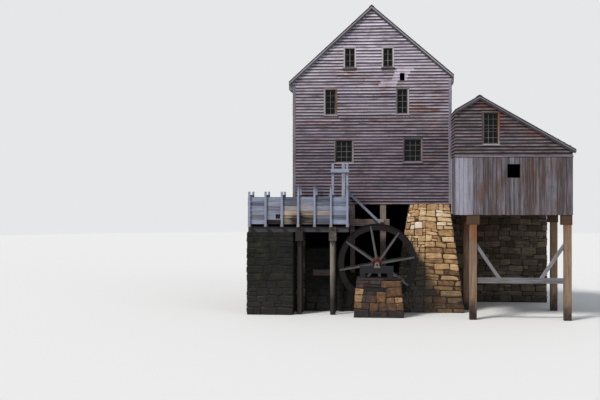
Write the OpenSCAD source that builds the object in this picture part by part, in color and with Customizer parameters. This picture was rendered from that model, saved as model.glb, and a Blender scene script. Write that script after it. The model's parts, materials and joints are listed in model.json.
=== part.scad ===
// Overshot watermill: a timber mill house on stone piers, a side wing on posts,
// a plank flume with a sluice gate, and an iron bucket wheel between two bearings.
// Units are millimetres. Heights are measured from the stream bed.
// X runs to the right along the gable front, Y runs back into the house, Z is up.

/* [House] */
// Width of the mill house across its gable front
house_w = 7540; // [7000:10:8000]
// Depth of the mill house from the front wall to the rear wall
house_d = 9800; // [9000:50:11000]
// Height of the lower edge of the siding
siding_z = 5120; // [5000:10:5300]
// Height of the top of the ridge
ridge_z = 14590; // [14200:10:15000]
// Height of the upper edge of the left eave
eave_left_z = 10970; // [10700:10:11300]
// Height of the upper edge of the right eave, where the old frame has sagged less
eave_right_z = 11250; // [10900:10:11500]
// Thickness of the framed walls with their siding
wall_t = 180; // [150:5:220]
// Upright thickness of the roof, from shingles to rafters
roof_t = 150; // [120:5:200]
// How far the roof stands out past the gable walls
rake_out = 120; // [80:5:200]
// How far the roof stands out past the side walls
eave_out = 190; // [120:5:260]

/* [Wing] */
// How far the wing stands forward of the gable front
wing_front = 2800; // [2500:50:3200]
// How far the wing reaches back past the gable front
wing_back = 5200; // [4500:50:6000]
// Distance from the middle of the gable front to the wing's outer wall
wing_right_x = 8900; // [8600:50:9200]
// Height of the wing's lower edge
wing_floor_z = 4670; // [4500:10:4800]
// Height of the line where the siding meets the upright boards
wing_band_z = 7250; // [7150:10:7400]
// Height of the wing's ridge
wing_ridge_z = 10000; // [9900:10:10300]
// Distance from the middle of the gable front to the wing's ridge
wing_ridge_x = 4845; // [4700:5:5000]
// Fall of the wing's roof for each unit sideways
wing_pitch = 0.575; // [0.5:0.005:0.65]

/* [Flume] */
// Left end of the flume's planks
flume_x0 = -5730; // [-6200:10:-5400]
// Right end of the flume's planks, over the wheel
flume_x1 = -1040; // [-1100:10:-980]
// Top edge of the flume's side planks
flume_top_z = 5460; // [5300:10:5600]
// Top of the flume's plank bottom
flume_bed_z = 4250; // [4200:10:4300]
// Clear width inside the flume
flume_clear = 1195; // [1100:5:1250]
// Thickness of the flume's planks
plank_t = 50; // [40:5:60]
// How far the gate can be raised
gate_lift = 450; // [300:10:600]

/* [Wheel] */
// Outer radius of the wheel
wheel_r = 1825; // [1700:5:1850]
// Depth of the shrouds and buckets
shroud_depth = 280; // [240:5:320]
// Width of the wheel over its two shrouds
wheel_w = 1080; // [900:10:1100]
// Number of buckets, a multiple of 8
bucket_count = 32; // [24:8:40]
// Height of the wheel's axis
axis_z = 2385; // [2350:5:2450]
// Distance of the wheel's axis from the middle of the gable front
axis_x = 280; // [200:5:300]
// Angle of the first spoke
spoke_angle = 10; // [0:1:44]
// Radius of the wheel's shaft
shaft_r = 75; // [60:1:80]

/* [Masonry] */
// Width of the corner pier at its top
pier_top_w = 1860; // [1600:10:2000]
// Sideways batter of the corner pier's left face for each unit of height
pier_batter_left = 0.16; // [0.1:0.01:0.2]
// Sideways batter of the corner pier's right face for each unit of height
pier_batter_right = 0.13; // [0.08:0.01:0.18]
// Height of the wheel pier in the stream
wheel_pier_z = 1800; // [1700:10:1850]
// Thickness of the foundation walls
found_t = 600; // [450:10:700]

/* [Hidden] */

house_x = house_w / 2;
// The right eave ends a little nearer the wall than the left one
eave_right_trim = 80;
eave_left_run = house_x + eave_out;
eave_right_run = house_x + eave_out - eave_right_trim;
fall_left = (ridge_z - eave_left_z) / eave_left_run;
fall_right = (ridge_z - eave_right_z) / eave_right_run;
house_side_x = house_x - wall_t;

first_floor_z = siding_z + 360;
second_floor_z = 8250;
attic_floor_z = 10750;
floor_t = 80;
beam_w = 240;
house_joists = 6;
corner_board_w = 135;
rake_board_w = 170;
eave_box_h = 230;

// Gap between pieces that only rest against each other
fit_gap = 2;

wing_x0 = house_x;
wing_y0 = -wing_front;
wing_roof_t = 130;
wing_eave_out = 150;
wing_wall_t = 150;
wing_post_w = 320;
wing_cap_h = 430;
wing_cap_d = 400;
wing_cap_out = 125;
wing_post_x = [4400, wing_right_x - wing_post_w - 30];
wing_post_y = [wing_y0, 1000];
wing_rake_w = 60;
wing_rake_inset = 20;
wing_floor_rise = 330;
band_board_h = 60;
band_board_t = 45;

stanchion_w = 95;
stanchion_pitch = 760;
stanchion_count = 7;
stanchion_x0 = flume_x0 + 80;
// The stanchions at the flume's upper end are cut shorter than the others
short_stanchions = 3;
stanchion_rise = [250, 500];
flume_far_y = -405;
flume_near_y = flume_far_y - flume_clear;
joist_h = 120;
joist_out = 60;
joist_z = flume_bed_z - plank_t - joist_h;
flume_beam_h = 250;
tie_h = 100;
tie_w = 110;
flume_beam_w = 200;
flume_beam_inset = 100;

flume_brace_top = [-1140, 5700];
flume_brace_foot = [400, 4230];
flume_brace_w = 120;

gate_x = -1300;
gate_t = 50;
gate_gap = 6;
cleat_w = 50;
cleat_t = 38;
gantry_x = [-1800, -1130];
gantry_y = -1000;
gantry_top_z = 7030;
gantry_w = 110;
gantry_bar_h = 180;
gantry_bar_t = 50;
gantry_bar_out = 40;
gantry_bar_front_y = gantry_y - 35;
// The crossbar stays above the board when the board is raised
gantry_bar_z = flume_top_z + tie_h + gate_lift + 590;
board_top_z = flume_top_z - 80;
stem_w = 150;
stem_t = 70;
stem_foot_z = flume_bed_z + 200;

spoke_t = 30;
shroud_t = 14;
wheel_mid_y = -985;
wheel_front_y = wheel_mid_y - wheel_w / 2;
wheel_rear_y = wheel_mid_y + wheel_w / 2;
sole_r = wheel_r - shroud_depth;
sole_t = 8;
bucket_t = 8;
felloe_count = 8;
bucket_reach = 13;
bucket_steps = 6;
hub_disc_r = 300;
hub_disc_t = 40;
hub_boss_r = 140;
hub_l = 240;
spoke_root_w = 105;
spoke_tip_w = 80;
spoke_tip_r = wheel_r - 80;
journal_r = 60;
running_clearance = 0.05;
journal_front_y = -2230;
journal_rear_y = 470;
bearing_l = 200;
bearing_w = 300;
bearing_sink = 140;
bearing_foot_h = 45;
bearing_cap_r = 100;
bearing_timber_x = [-505, 1025];
bearing_timber_z = [2000, 2315];
bearing_timber_y = [-2280, -1980];
bearing_block_w = 270;

pier_x1 = house_x - 90;
pier_x0 = pier_x1 - pier_top_w;
pier_d = 1500;
pier_front_batter = 0.06;
pit_wall_z = 1850;
pit_step_x = -1650;
pit_step_z = 3000;
wheel_pier_bottom_x = [-770, 1480];
wheel_pier_top_x = [-620, 1340];
wheel_pier_y = [-2460, -1700];

// Posts and rail at the front of the open space under the house
undercroft_posts = [[-1030, -800], [400, 680]];
undercroft_post_y = [20, 240];
undercroft_rail_x = [-1030, 840];
undercroft_rail_z = [4070, 4400];
undercroft_rail_y = -132;
pit_timber_x = [-2800, -1950];
pit_timber_z = [1700, 1980];

// The origin is the middle of the lowest rectangle round the whole mill
extent_x0 = flume_x0 - 20;
extent_x1 = wing_right_x + wing_eave_out;
extent_y0 = -wing_front - rake_out;
extent_y1 = house_d + rake_out;
origin_x = (extent_x0 + extent_x1) / 2;
origin_y = (extent_y0 + extent_y1) / 2;

// Windows of the gable front: left edge, sill height, width and height of the glass
front_windows = [
    [-1710, 7100, 780, 1040], [1560, 7140, 780, 1040],
    [-2210, 9400, 480, 1190], [1220, 9420, 480, 1160],
    [-1270, 11660, 460, 890], [550, 11670, 440, 870]];
// Windows of the left side: distance from the front, sill height, width and height
left_windows = [
    [4300, 7100, 780, 1040], [7300, 7100, 780, 1040],
    [1500, 9320, 480, 1150], [4400, 9320, 480, 1150], [7400, 9320, 480, 1150]];
// Windows of the right side behind the wing
right_windows = [[6400, 7100, 780, 1040], [6600, 9400, 480, 1190], [8300, 9400, 480, 1190]];
vent = [1330, 11010, 230, 340];
wing_window = [5020, 7840, 630, 1380];
wing_hatch = [6060, 6330, 570, 610];
window_reveal = 30;
casing_w = 75;
casing_t = 28;
sill_out = 35;
sill_h = 45;
sill_ear = 25;
glass_t = 12;
glass_y = 50;
door_y = 1400;
door_w = 1000;
door_h = 2050;
door_frame_w = 70;
door_sink = 30;
door_t = 50;
door_sill_h = 20;
door_apron_h = 40;

// Height just under the roof, over a place across the house
function roof_under(x) =
    ridge_z - roof_t - fit_gap - (x < 0 ? -x * fall_left : x * fall_right);
// Height just under the wing's roof, over a place across the wing
function wing_under(x) =
    wing_ridge_z - wing_roof_t - fit_gap - abs(x - wing_ridge_x) * wing_pitch;
function stanchion_x(i) = stanchion_x0 + i * stanchion_pitch;
function polar(r, a) = [r * cos(a), r * sin(a)];
function gap_angle(r) = fit_gap / r * 180 / PI;

// A box from its lowest corner to its highest corner
module block(low, high) {
    translate(low) cube(high - low);
}

// An outline in the X and Z plane, carried from y0 to y1
module carried_back(outline, y0, y1) {
    translate([0, y1, 0]) rotate([90, 0, 0]) linear_extrude(y1 - y0) polygon(outline);
}

// A straight timber between two points of the X and Z plane
module slanted_timber(from, to, depth, y0, y1) {
    run = to - from;
    translate([from[0], 0, from[1]]) rotate([0, -atan2(run[1], run[0]), 0])
        block([0, y0, -depth / 2], [norm(run), y1, depth / 2]);
}

// A masonry mass whose faces lean inwards towards its top
module battered(bottom_x, top_x, bottom_y, top_y, h) {
    intersection() {
        carried_back([[bottom_x[0], 0], [bottom_x[1], 0], [top_x[1], h], [top_x[0], h]],
            bottom_y[0] - 1, bottom_y[1] + 1);
        translate([bottom_x[0] - 1, 0, 0]) rotate([90, 0, 90])
            linear_extrude(bottom_x[1] - bottom_x[0] + 2)
            polygon([[bottom_y[0], 0], [bottom_y[1], 0], [top_y[1], h], [top_y[0], h]]);
    }
}

// Places what is drawn on the front wall onto the rear, left or right wall
module on_rear() { translate([0, house_d, 0]) rotate([0, 0, 180]) children(); }
module on_left() { translate([-house_x, 0, 0]) rotate([0, 0, -90]) mirror([1, 0, 0]) children(); }
module on_right() { translate([house_x, 0, 0]) rotate([0, 0, 90]) children(); }

// The hole that a window needs in a wall that starts at y = 0
module window_hole(win, depth) {
    block([win[0] - window_reveal, -1, win[1] - window_reveal],
        [win[0] + win[2] + window_reveal, depth + 1, win[1] + win[3] + window_reveal]);
}

// The casing on the wall's face with the jambs behind it, in one piece
module window_frame(win, depth) {
    x0 = win[0];
    z0 = win[1];
    x1 = x0 + win[2];
    z1 = z0 + win[3];
    difference() {
        union() {
            block([x0 - casing_w, -casing_t, z0 - casing_w], [x1 + casing_w, 0, z1 + casing_w]);
            block([x0 - window_reveal, 0, z0 - window_reveal],
                [x1 + window_reveal, depth * 0.7, z1 + window_reveal]);
            block([x0 - casing_w - sill_ear, -casing_t - sill_out, z0 - casing_w],
                [x1 + casing_w + sill_ear, 0, z0 - casing_w + sill_h]);
        }
        block([x0, -casing_t - 100, z0], [x1, depth, z1]);
    }
}

module window_pane(win) {
    block([win[0], glass_y, win[1]], [win[0] + win[2], glass_y + glass_t, win[1] + win[3]]);
}

// Gable wall with its floor line at the siding's lower edge
module gable_wall(windows) {
    difference() {
        carried_back([[-house_x, siding_z], [house_x, siding_z], [house_x, roof_under(house_x)],
            [0, roof_under(0)], [-house_x, roof_under(-house_x)]], 0, wall_t);
        for (win = windows) window_hole(win, wall_t);
    }
}

// Masonry

module corner_pier() color("#a1876a")
    battered([pier_x0 - pier_batter_left * siding_z, pier_x1 + pier_batter_right * siding_z],
        [pier_x0, pier_x1], [-pier_front_batter * siding_z, pier_d], [0, pier_d], siding_z);

// Low wall behind the wheel and the higher wall beside the flume's posts
module pit_wall() color("#5c4d3d") {
    carried_back([[pit_step_x, 0], [pier_x0 - pier_batter_left * siding_z, 0],
        [pier_x0 - pier_batter_left * (siding_z - pit_wall_z), pit_wall_z],
        [pit_step_x, pit_wall_z]], 0, found_t);
    block([-house_x + found_t, 0, 0], [pit_step_x - fit_gap, found_t, pit_step_z]);
}

module foundation_left() color("#5c4d3d")
    block([-house_x, 0, 0], [-house_x + found_t, house_d, siding_z]);

module foundation_rear() color("#5c4d3d")
    block([-house_x + found_t, house_d - found_t, 0], [house_x - found_t, house_d, siding_z]);

module foundation_right() color("#5c4d3d")
    block([house_x - found_t, pier_d, 0], [house_x, house_d, siding_z]);

module flume_abutment() color("#4c4034")
    block([extent_x0, flume_near_y - 150, 0], [-house_x + 150, 0, joist_z - flume_beam_h]);

module wheel_pier() color("#6b5240")
    battered(wheel_pier_bottom_x, wheel_pier_top_x, wheel_pier_y,
        [wheel_pier_y[0] + 60, wheel_pier_y[1]], wheel_pier_z);

module wing_foundation() color("#6a5a48")
    block([house_x, wing_back - found_t, 0], [wing_right_x, wing_back, wing_floor_z]);

// Timber under the house

module floor_beams() color("#56504e") {
    z0 = siding_z;
    z1 = first_floor_z - floor_t;
    for (y = [wall_t, house_d - wall_t - beam_w])
        block([-house_side_x, y, z0], [house_side_x, y + beam_w, z1]);
    step = (2 * house_side_x - beam_w) / (house_joists - 1);
    for (i = [0:house_joists - 1])
        block([-house_side_x + i * step, wall_t + beam_w + fit_gap, z0],
            [-house_side_x + i * step + beam_w, house_d - wall_t - beam_w - fit_gap, z1]);
}

module undercroft_frame() color("#625951") {
    for (post = undercroft_posts)
        block([post[0], undercroft_post_y[0], pit_wall_z],
            [post[1], undercroft_post_y[1], siding_z]);
    block([undercroft_rail_x[0], undercroft_rail_y, undercroft_rail_z[0]],
        [undercroft_rail_x[1], undercroft_post_y[0] - fit_gap, undercroft_rail_z[1]]);
    block([pit_timber_x[0], -60, pit_timber_z[0]], [pit_timber_x[1], 0, pit_timber_z[1]]);
}

// Walls, floors and roof of the house

module front_wall() color("#6e6370")
    difference() {
        gable_wall(front_windows);
        block([vent[0], -1, vent[1]], [vent[0] + vent[2], wall_t + 1, vent[1] + vent[3]]);
    }

module rear_wall() color("#6e6370") on_rear() mirror([1, 0, 0]) gable_wall(front_windows);

module left_wall() color("#6e6370")
    difference() {
        carried_back([[-house_x, siding_z], [-house_side_x, siding_z],
            [-house_side_x, roof_under(-house_side_x)], [-house_x, roof_under(-house_x)]],
            wall_t, house_d - wall_t);
        on_left() for (win = left_windows) window_hole(win, wall_t);
        block([-house_x - 1, door_y, first_floor_z],
            [-house_side_x + 1, door_y + door_w, first_floor_z + door_h]);
    }

module right_wall() color("#6e6370")
    difference() {
        carried_back([[house_side_x, siding_z], [house_x, siding_z],
            [house_x, roof_under(house_x)], [house_side_x, roof_under(house_side_x)]],
            wall_t, house_d - wall_t);
        on_right() for (win = right_windows) window_hole(win, wall_t);
    }

module house_floor(top_z)
    block([-house_side_x, wall_t, top_z - floor_t], [house_side_x, house_d - wall_t, top_z]);

module first_floor() color("#7a6a58") house_floor(first_floor_z);
module second_floor() color("#7a6a58") house_floor(second_floor_z);
module attic_floor() color("#7a6a58") house_floor(attic_floor_z);

// One slope of the house's roof from the ridge to its eave
module roof_slope(eave_x, eave_z)
    carried_back([[0, ridge_z - roof_t], [0, ridge_z], [eave_x, eave_z], [eave_x, eave_z - roof_t]],
        -rake_out, house_d + rake_out);

module roof_left() color("#5e5a58") roof_slope(-eave_left_run, eave_left_z);
module roof_right() color("#5e5a58") roof_slope(eave_right_run, eave_right_z);

// Corner boards, rake boards under the roof's edge and boxed eaves up to the roof's underside
module trim_boards() color("#8c8890") {
    for (side = [-1, 1]) {
        x = side * house_x;
        x_inner = x - side * corner_board_w;
        rake_x = side * fit_gap / 2;
        for (y = [-casing_t, house_d]) {
            block([min(x, x_inner), y, siding_z],
                [max(x, x_inner), y + casing_t, roof_under(x) - rake_board_w - fit_gap]);
            carried_back([[x, roof_under(x)], [rake_x, roof_under(rake_x)],
                [rake_x, roof_under(rake_x) - rake_board_w], [x, roof_under(x) - rake_board_w]],
                y, y + casing_t);
        }
        eave_x = side < 0 ? -eave_left_run : eave_right_run;
        wall_x = x + side * fit_gap;
        soffit_z = roof_under(eave_x) - eave_box_h;
        carried_back([[wall_x, soffit_z], [eave_x, soffit_z], [eave_x, roof_under(eave_x)],
            [wall_x, roof_under(wall_x)]], -casing_t, house_d + casing_t);
    }
}

// Windows and door

module window_frames() color("#b9b2ac") {
    for (win = front_windows) window_frame(win, wall_t);
    on_rear() mirror([1, 0, 0]) for (win = front_windows) window_frame(win, wall_t);
    on_left() for (win = left_windows) window_frame(win, wall_t);
    on_right() for (win = right_windows) window_frame(win, wall_t);
    translate([0, -wing_front, 0]) window_frame(wing_window, wing_wall_t);
}

module window_glass() color("#232428") {
    for (win = front_windows) window_pane(win);
    on_rear() mirror([1, 0, 0]) for (win = front_windows) window_pane(win);
    on_left() for (win = left_windows) window_pane(win);
    on_right() for (win = right_windows) window_pane(win);
    translate([0, -wing_front, 0]) window_pane(wing_window);
}

module entry_door() color("#5d5450")
    block([-house_x + door_sink, door_y + door_frame_w, first_floor_z + door_sill_h],
        [-house_x + door_sink + door_t, door_y + door_w - door_frame_w,
            first_floor_z + door_h - door_frame_w]);

module entry_door_frame() color("#8c8890")
    difference() {
        union() {
            block([-house_x, door_y, first_floor_z],
                [-house_side_x, door_y + door_w, first_floor_z + door_h]);
            block([-house_x - casing_t, door_y - casing_w, first_floor_z - door_apron_h],
                [-house_x, door_y + door_w + casing_w, first_floor_z + door_h + casing_w]);
        }
        block([-house_x - 100, door_y + door_frame_w, first_floor_z + door_sill_h],
            [-house_side_x + 100, door_y + door_w - door_frame_w,
                first_floor_z + door_h - door_frame_w]);
    }

// Wing

module wing_front_wall() color("#504a4e")
    difference() {
        carried_back([[wing_x0, wing_floor_z], [wing_right_x, wing_floor_z],
            [wing_right_x, wing_under(wing_right_x)], [wing_ridge_x, wing_under(wing_ridge_x)],
            [wing_x0, wing_under(wing_x0)]], wing_y0, wing_y0 + wing_wall_t);
        translate([0, wing_y0, 0]) {
            window_hole(wing_window, wing_wall_t);
            block([wing_hatch[0], -1, wing_hatch[1]],
                [wing_hatch[0] + wing_hatch[2], wing_wall_t + 1, wing_hatch[1] + wing_hatch[3]]);
        }
    }

module wing_left_wall() color("#504a4e")
    carried_back([[wing_x0, wing_floor_z], [wing_x0 + wing_wall_t, wing_floor_z],
        [wing_x0 + wing_wall_t, wing_under(wing_x0 + wing_wall_t)],
        [wing_x0, wing_under(wing_x0)]], wing_y0 + wing_wall_t, -casing_t);

module wing_right_wall() color("#504a4e")
    carried_back([[wing_right_x - wing_wall_t, wing_floor_z], [wing_right_x, wing_floor_z],
        [wing_right_x, wing_under(wing_right_x)],
        [wing_right_x - wing_wall_t, wing_under(wing_right_x - wing_wall_t)]],
        wing_y0 + wing_wall_t, wing_back - wing_wall_t);

module wing_rear_wall() color("#504a4e")
    carried_back([[wing_x0, wing_floor_z], [wing_right_x, wing_floor_z],
        [wing_right_x, wing_under(wing_right_x)], [wing_ridge_x, wing_under(wing_ridge_x)],
        [wing_x0, wing_under(wing_x0)]], wing_back - wing_wall_t, wing_back);

module wing_floors() color("#7a6a58")
    for (z = [wing_floor_z + wing_floor_rise, wing_band_z + floor_t])
        block([wing_x0 + wing_wall_t, wing_y0 + wing_wall_t, z - floor_t],
            [wing_right_x - wing_wall_t, wing_back - wing_wall_t, z]);

// One slope of the wing's roof, on the side where x lies from the ridge
module wing_slope(x, y0) {
    z = wing_ridge_z - abs(x - wing_ridge_x) * wing_pitch;
    carried_back([[wing_ridge_x, wing_ridge_z - wing_roof_t], [wing_ridge_x, wing_ridge_z],
        [x, z], [x, z - wing_roof_t]], y0, wing_back + rake_out);
}

module wing_roof_left() color("#5e5a58") wing_slope(wing_x0, wing_y0 - rake_out);
module wing_roof_right() color("#5e5a58") wing_slope(extent_x1, wing_y0 - rake_out);

// Rake boards of the wing's front gable and the drip board where its boarding changes
module wing_trim() color("#6f6064") {
    y1 = wing_y0 - fit_gap;
    for (end = [[wing_x0 + wing_rake_inset, -1], [extent_x1 - wing_rake_inset, 1]]) {
        x = end[0];
        rake_x = wing_ridge_x + end[1] * fit_gap / 2;
        carried_back([[x, wing_under(x)], [rake_x, wing_under(rake_x)],
            [rake_x, wing_under(rake_x) - wing_rake_w], [x, wing_under(x) - wing_rake_w]],
            y1 - casing_t, y1);
    }
    block([wing_x0, y1 - band_board_t, wing_band_z],
        [wing_right_x + band_board_t, y1, wing_band_z + band_board_h]);
    block([wing_right_x + fit_gap, wing_y0, wing_band_z],
        [wing_right_x + band_board_t, wing_back, wing_band_z + band_board_h]);
}

module wing_posts() color("#6f625a")
    for (y = wing_post_y)
        for (x = wing_post_x) {
            cap_z = wing_floor_z - wing_cap_h;
            block([x, y, 0], [x + wing_post_w, y + wing_post_w, cap_z - fit_gap]);
            block([x - wing_cap_out, y, cap_z],
                [min(x + wing_post_w + wing_cap_out, wing_right_x), y + wing_cap_d, wing_floor_z]);
        }

// Low sill between the two front posts with a brace up to each post
module wing_trestle() color("#8a8484") {
    sill_z = [1630, 1870];
    x0 = wing_post_x[0] + wing_post_w;
    x1 = wing_post_x[1];
    brace_run = 1030;
    brace_rise = 1740;
    brace_end = 200;
    brace_w = 150;
    y0 = wing_y0 + 60;
    block([x0, y0, sill_z[0]], [x1, y0 + 200, sill_z[1]]);
    intersection() {
        union() {
            slanted_timber([x0 - brace_end, sill_z[1] + brace_rise],
                [x0 + brace_run, sill_z[1] - 80], brace_w, y0 + 30, y0 + 170);
            slanted_timber([x1 + brace_end, sill_z[1] + brace_rise],
                [x1 - brace_run, sill_z[1] - 80], brace_w, y0 + 30, y0 + 170);
        }
        block([x0, y0, sill_z[1] + fit_gap], [x1, y0 + 200, sill_z[1] + 2 * brace_rise]);
    }
}

// Flume and gate

module flume_floor() color("#75808e")
    block([flume_x0, flume_near_y, flume_bed_z - plank_t],
        [flume_x1, flume_far_y, flume_bed_z]);

// Side planks, and two upright cleats inside them that guide the gate
module flume_side(plank_y, cleat_y) {
    block([flume_x0, plank_y, flume_bed_z - plank_t],
        [flume_x1, plank_y + plank_t, flume_top_z]);
    for (x = [gate_x - gate_t / 2 - gate_gap - cleat_w, gate_x + gate_t / 2 + gate_gap])
        block([x, cleat_y, flume_bed_z], [x + cleat_w, cleat_y + cleat_t, flume_top_z]);
}

module flume_side_near() color("#808694")
    flume_side(flume_near_y - plank_t, flume_near_y + fit_gap);
module flume_side_far() color("#808694")
    flume_side(flume_far_y, flume_far_y - fit_gap - cleat_t);

module flume_stanchions() color("#8d93a0")
    for (i = [0:stanchion_count - 1])
        for (y = [flume_near_y - plank_t - stanchion_w, flume_far_y + plank_t])
            block([stanchion_x(i) - stanchion_w / 2, y, joist_z + joist_h],
                [stanchion_x(i) + stanchion_w / 2, y + stanchion_w,
                    flume_top_z + stanchion_rise[i < short_stanchions ? 0 : 1]]);

// Ties across the top of the flume, wider under the gantry's posts
module flume_ties() color("#757b88")
    for (i = [0:stanchion_count - 1]) {
        w = tie_w * (i < stanchion_count - 2 ? 1 : 2);
        block([stanchion_x(i) - w / 2, flume_near_y - plank_t, flume_top_z],
            [stanchion_x(i) + w / 2, flume_far_y + plank_t, flume_top_z + tie_h]);
    }

module flume_joists() color("#8d8a86")
    for (i = [0:stanchion_count - 1])
        block([stanchion_x(i) - joist_h / 2, flume_near_y - plank_t - stanchion_w - joist_out,
                joist_z],
            [stanchion_x(i) + joist_h / 2, flume_far_y + plank_t + stanchion_w, joist_z + joist_h]);

module flume_beams() color("#625951")
    for (y = [flume_near_y + flume_beam_inset, flume_far_y - flume_beam_inset - flume_beam_w])
        block([flume_x0, y, joist_z - flume_beam_h], [flume_x1, y + flume_beam_w, joist_z]);

// Round log posts under the gate and square posts beside the abutment, each pair with a cap
module flume_bents() color("#6b6259") {
    cap_h = 400;
    cap_z = joist_z - flume_beam_h - cap_h;
    cap_w = 340;
    cap_out = 80;
    post_y = [flume_near_y + 200, flume_far_y - 200];
    log_x = -1780;
    log_r = 130;
    square_x = -3330;
    square_w = 200;
    for (y = post_y) {
        translate([log_x, y, 0]) cylinder(h = cap_z - fit_gap, r = log_r, $fn = 64);
        block([square_x - square_w / 2, y - square_w / 2, 0],
            [square_x + square_w / 2, y + square_w / 2, cap_z - fit_gap]);
    }
    for (x = [log_x, square_x]) {
        block([x - cap_w / 2, flume_near_y - cap_out, cap_z],
            [x + cap_w / 2, flume_far_y + cap_out, cap_z + cap_h]);
        block([x - cap_w / 2, flume_near_y - cap_out, cap_z + cap_h + fit_gap],
            [x + cap_w / 2, flume_near_y + flume_beam_inset - fit_gap, joist_z]);
    }
}

// Strut from the flume's last stanchion down to the rail behind the wheel
module flume_brace() color("#8d93a0")
    slanted_timber(flume_brace_top, flume_brace_foot, flume_brace_w,
        flume_far_y + plank_t + stanchion_w + fit_gap, undercroft_rail_y - fit_gap);

// Two posts on the ties, with a crossbar on each side that holds the gate's stem upright
module gate_gantry() color("#8d93a0") {
    post_x = gantry_w / 2;
    back_y = gantry_y + gantry_w / 2;
    for (x = gantry_x)
        block([x - post_x, gantry_y - gantry_w / 2, flume_top_z + tie_h],
            [x + post_x, back_y, gantry_top_z]);
    block([gantry_x[0] - post_x - gantry_bar_out, back_y + fit_gap, gantry_bar_z],
        [gantry_x[1] + post_x + gantry_bar_out, back_y + gantry_bar_t,
            gantry_bar_z + gantry_bar_h]);
    block([gantry_x[0] + post_x + fit_gap, gantry_bar_front_y, gantry_bar_z],
        [gantry_x[1] - post_x - fit_gap, back_y, gantry_bar_z + gantry_bar_h]);
}

module gate_board() color("#6f7682")
    block([gate_x - gate_t / 2, flume_near_y + 8, flume_bed_z],
        [gate_x + gate_t / 2, flume_far_y - 8, board_top_z]);

// Stem that clasps the board and passes in front of the crossbar
module gate_stem() color("#9ba1ac") {
    y1 = gantry_bar_front_y - gate_gap;
    y0 = y1 - stem_t;
    difference() {
        block([gate_x - stem_w / 2, y0, stem_foot_z], [gate_x + stem_w / 2, y1, gantry_top_z]);
        block([gate_x - gate_t / 2, y0 - 1, 0], [gate_x + gate_t / 2, y1 + 1, board_top_z]);
    }
}

// Wheel, drawn with its axis upright and its front face upwards, then turned into place
module on_axle(y) {
    translate([axis_x, y, axis_z]) rotate([90, 0, 0]) children();
}

// One shroud: felloe plates in a ring, each with a lip along its outer edge
module shroud() {
    lip_h = 30;
    lip_t = 12;
    for (i = [0:felloe_count - 1])
        rotate([0, 0, spoke_angle + 360 / felloe_count * (i + 0.5)])
            rotate_extrude(angle = 360 / felloe_count - gap_angle(wheel_r), $fn = 96)
            polygon([[sole_r, 0], [wheel_r, 0], [wheel_r, shroud_t + lip_h],
                [wheel_r - lip_t, shroud_t + lip_h], [wheel_r - lip_t, shroud_t],
                [sole_r, shroud_t]]);
}

module wheel_shroud_front() color("#2b2622") on_axle(wheel_front_y + shroud_t) shroud();
module wheel_shroud_rear() color("#2b2622")
    on_axle(wheel_rear_y - shroud_t) mirror([0, 0, 1]) shroud();

module wheel_sole() color("#2b2622")
    on_axle(wheel_rear_y - shroud_t)
    for (i = [0:felloe_count - 1])
        rotate([0, 0, spoke_angle + 360 / felloe_count * (i + 0.5)])
            rotate_extrude(angle = 360 / felloe_count - gap_angle(sole_r), $fn = 96)
            translate([sole_r, 0]) square([sole_t, wheel_w - 2 * shroud_t]);

// Middle line of a bucket: it leaves the sole square and bends towards the rim
function bucket_mid(t) =
    let (a = [sole_r + sole_t, 0], b = [sole_r + shroud_depth * 0.62, 0],
         c = polar(wheel_r - 12, bucket_reach))
    (1 - t) * (1 - t) * a + 2 * t * (1 - t) * b + t * t * c;
function bucket_side(t, side) =
    let (d = bucket_mid(min(t + 0.01, 1)) - bucket_mid(max(t - 0.01, 0)), n = [-d[1], d[0]] / norm(d))
    bucket_mid(t) + n * side * bucket_t / 2;

module wheel_buckets() color("#3a332e")
    on_axle(wheel_rear_y - shroud_t)
    for (i = [0:bucket_count - 1])
        rotate([0, 0, spoke_angle + 360 / bucket_count * i])
            linear_extrude(wheel_w - 2 * shroud_t)
            polygon(concat([for (k = [0:bucket_steps]) bucket_side(k / bucket_steps, 1)],
                [for (k = [bucket_steps:-1:0]) bucket_side(k / bucket_steps, -1)]));

// Tapered flat spokes from the hub's disc out over the shroud
module spokes() {
    root_r = hub_boss_r + 60;
    for (i = [0:felloe_count - 1])
        rotate([0, 0, spoke_angle + 360 / felloe_count * i])
            linear_extrude(spoke_t)
            polygon([[root_r, -spoke_root_w / 2], [spoke_tip_r, -spoke_tip_w / 2],
                [spoke_tip_r, spoke_tip_w / 2], [root_r, spoke_root_w / 2]]);
}

module wheel_spokes() color("#5a4d42") {
    on_axle(wheel_front_y) spokes();
    on_axle(wheel_rear_y) mirror([0, 0, 1]) spokes();
}

// Cast hub: a boss on the shaft, a disc behind the spokes' roots and a rib between each two spokes
module hub() {
    rib_t = 16;
    rib_h = 70;
    difference() {
        union() {
            translate([0, 0, -hub_l / 2]) cylinder(h = hub_l, r = hub_boss_r, $fn = 64);
            translate([0, 0, -hub_disc_t]) cylinder(h = hub_disc_t, r = hub_disc_r, $fn = 64);
            for (i = [0:felloe_count - 1])
                rotate([90, 0, spoke_angle + 360 / felloe_count * (i + 0.5)])
                    translate([0, 0, -rib_t / 2]) linear_extrude(rib_t)
                    polygon([[hub_boss_r - 10, -5], [hub_disc_r - 20, -5],
                        [hub_disc_r - 20, 15], [hub_boss_r - 10, rib_h]]);
        }
        translate([0, 0, -hub_l]) cylinder(h = 2 * hub_l, r = shaft_r, $fn = 64);
    }
}

module wheel_hubs() color("#7d4230") {
    on_axle(wheel_front_y) hub();
    on_axle(wheel_rear_y) mirror([0, 0, 1]) hub();
}

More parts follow.
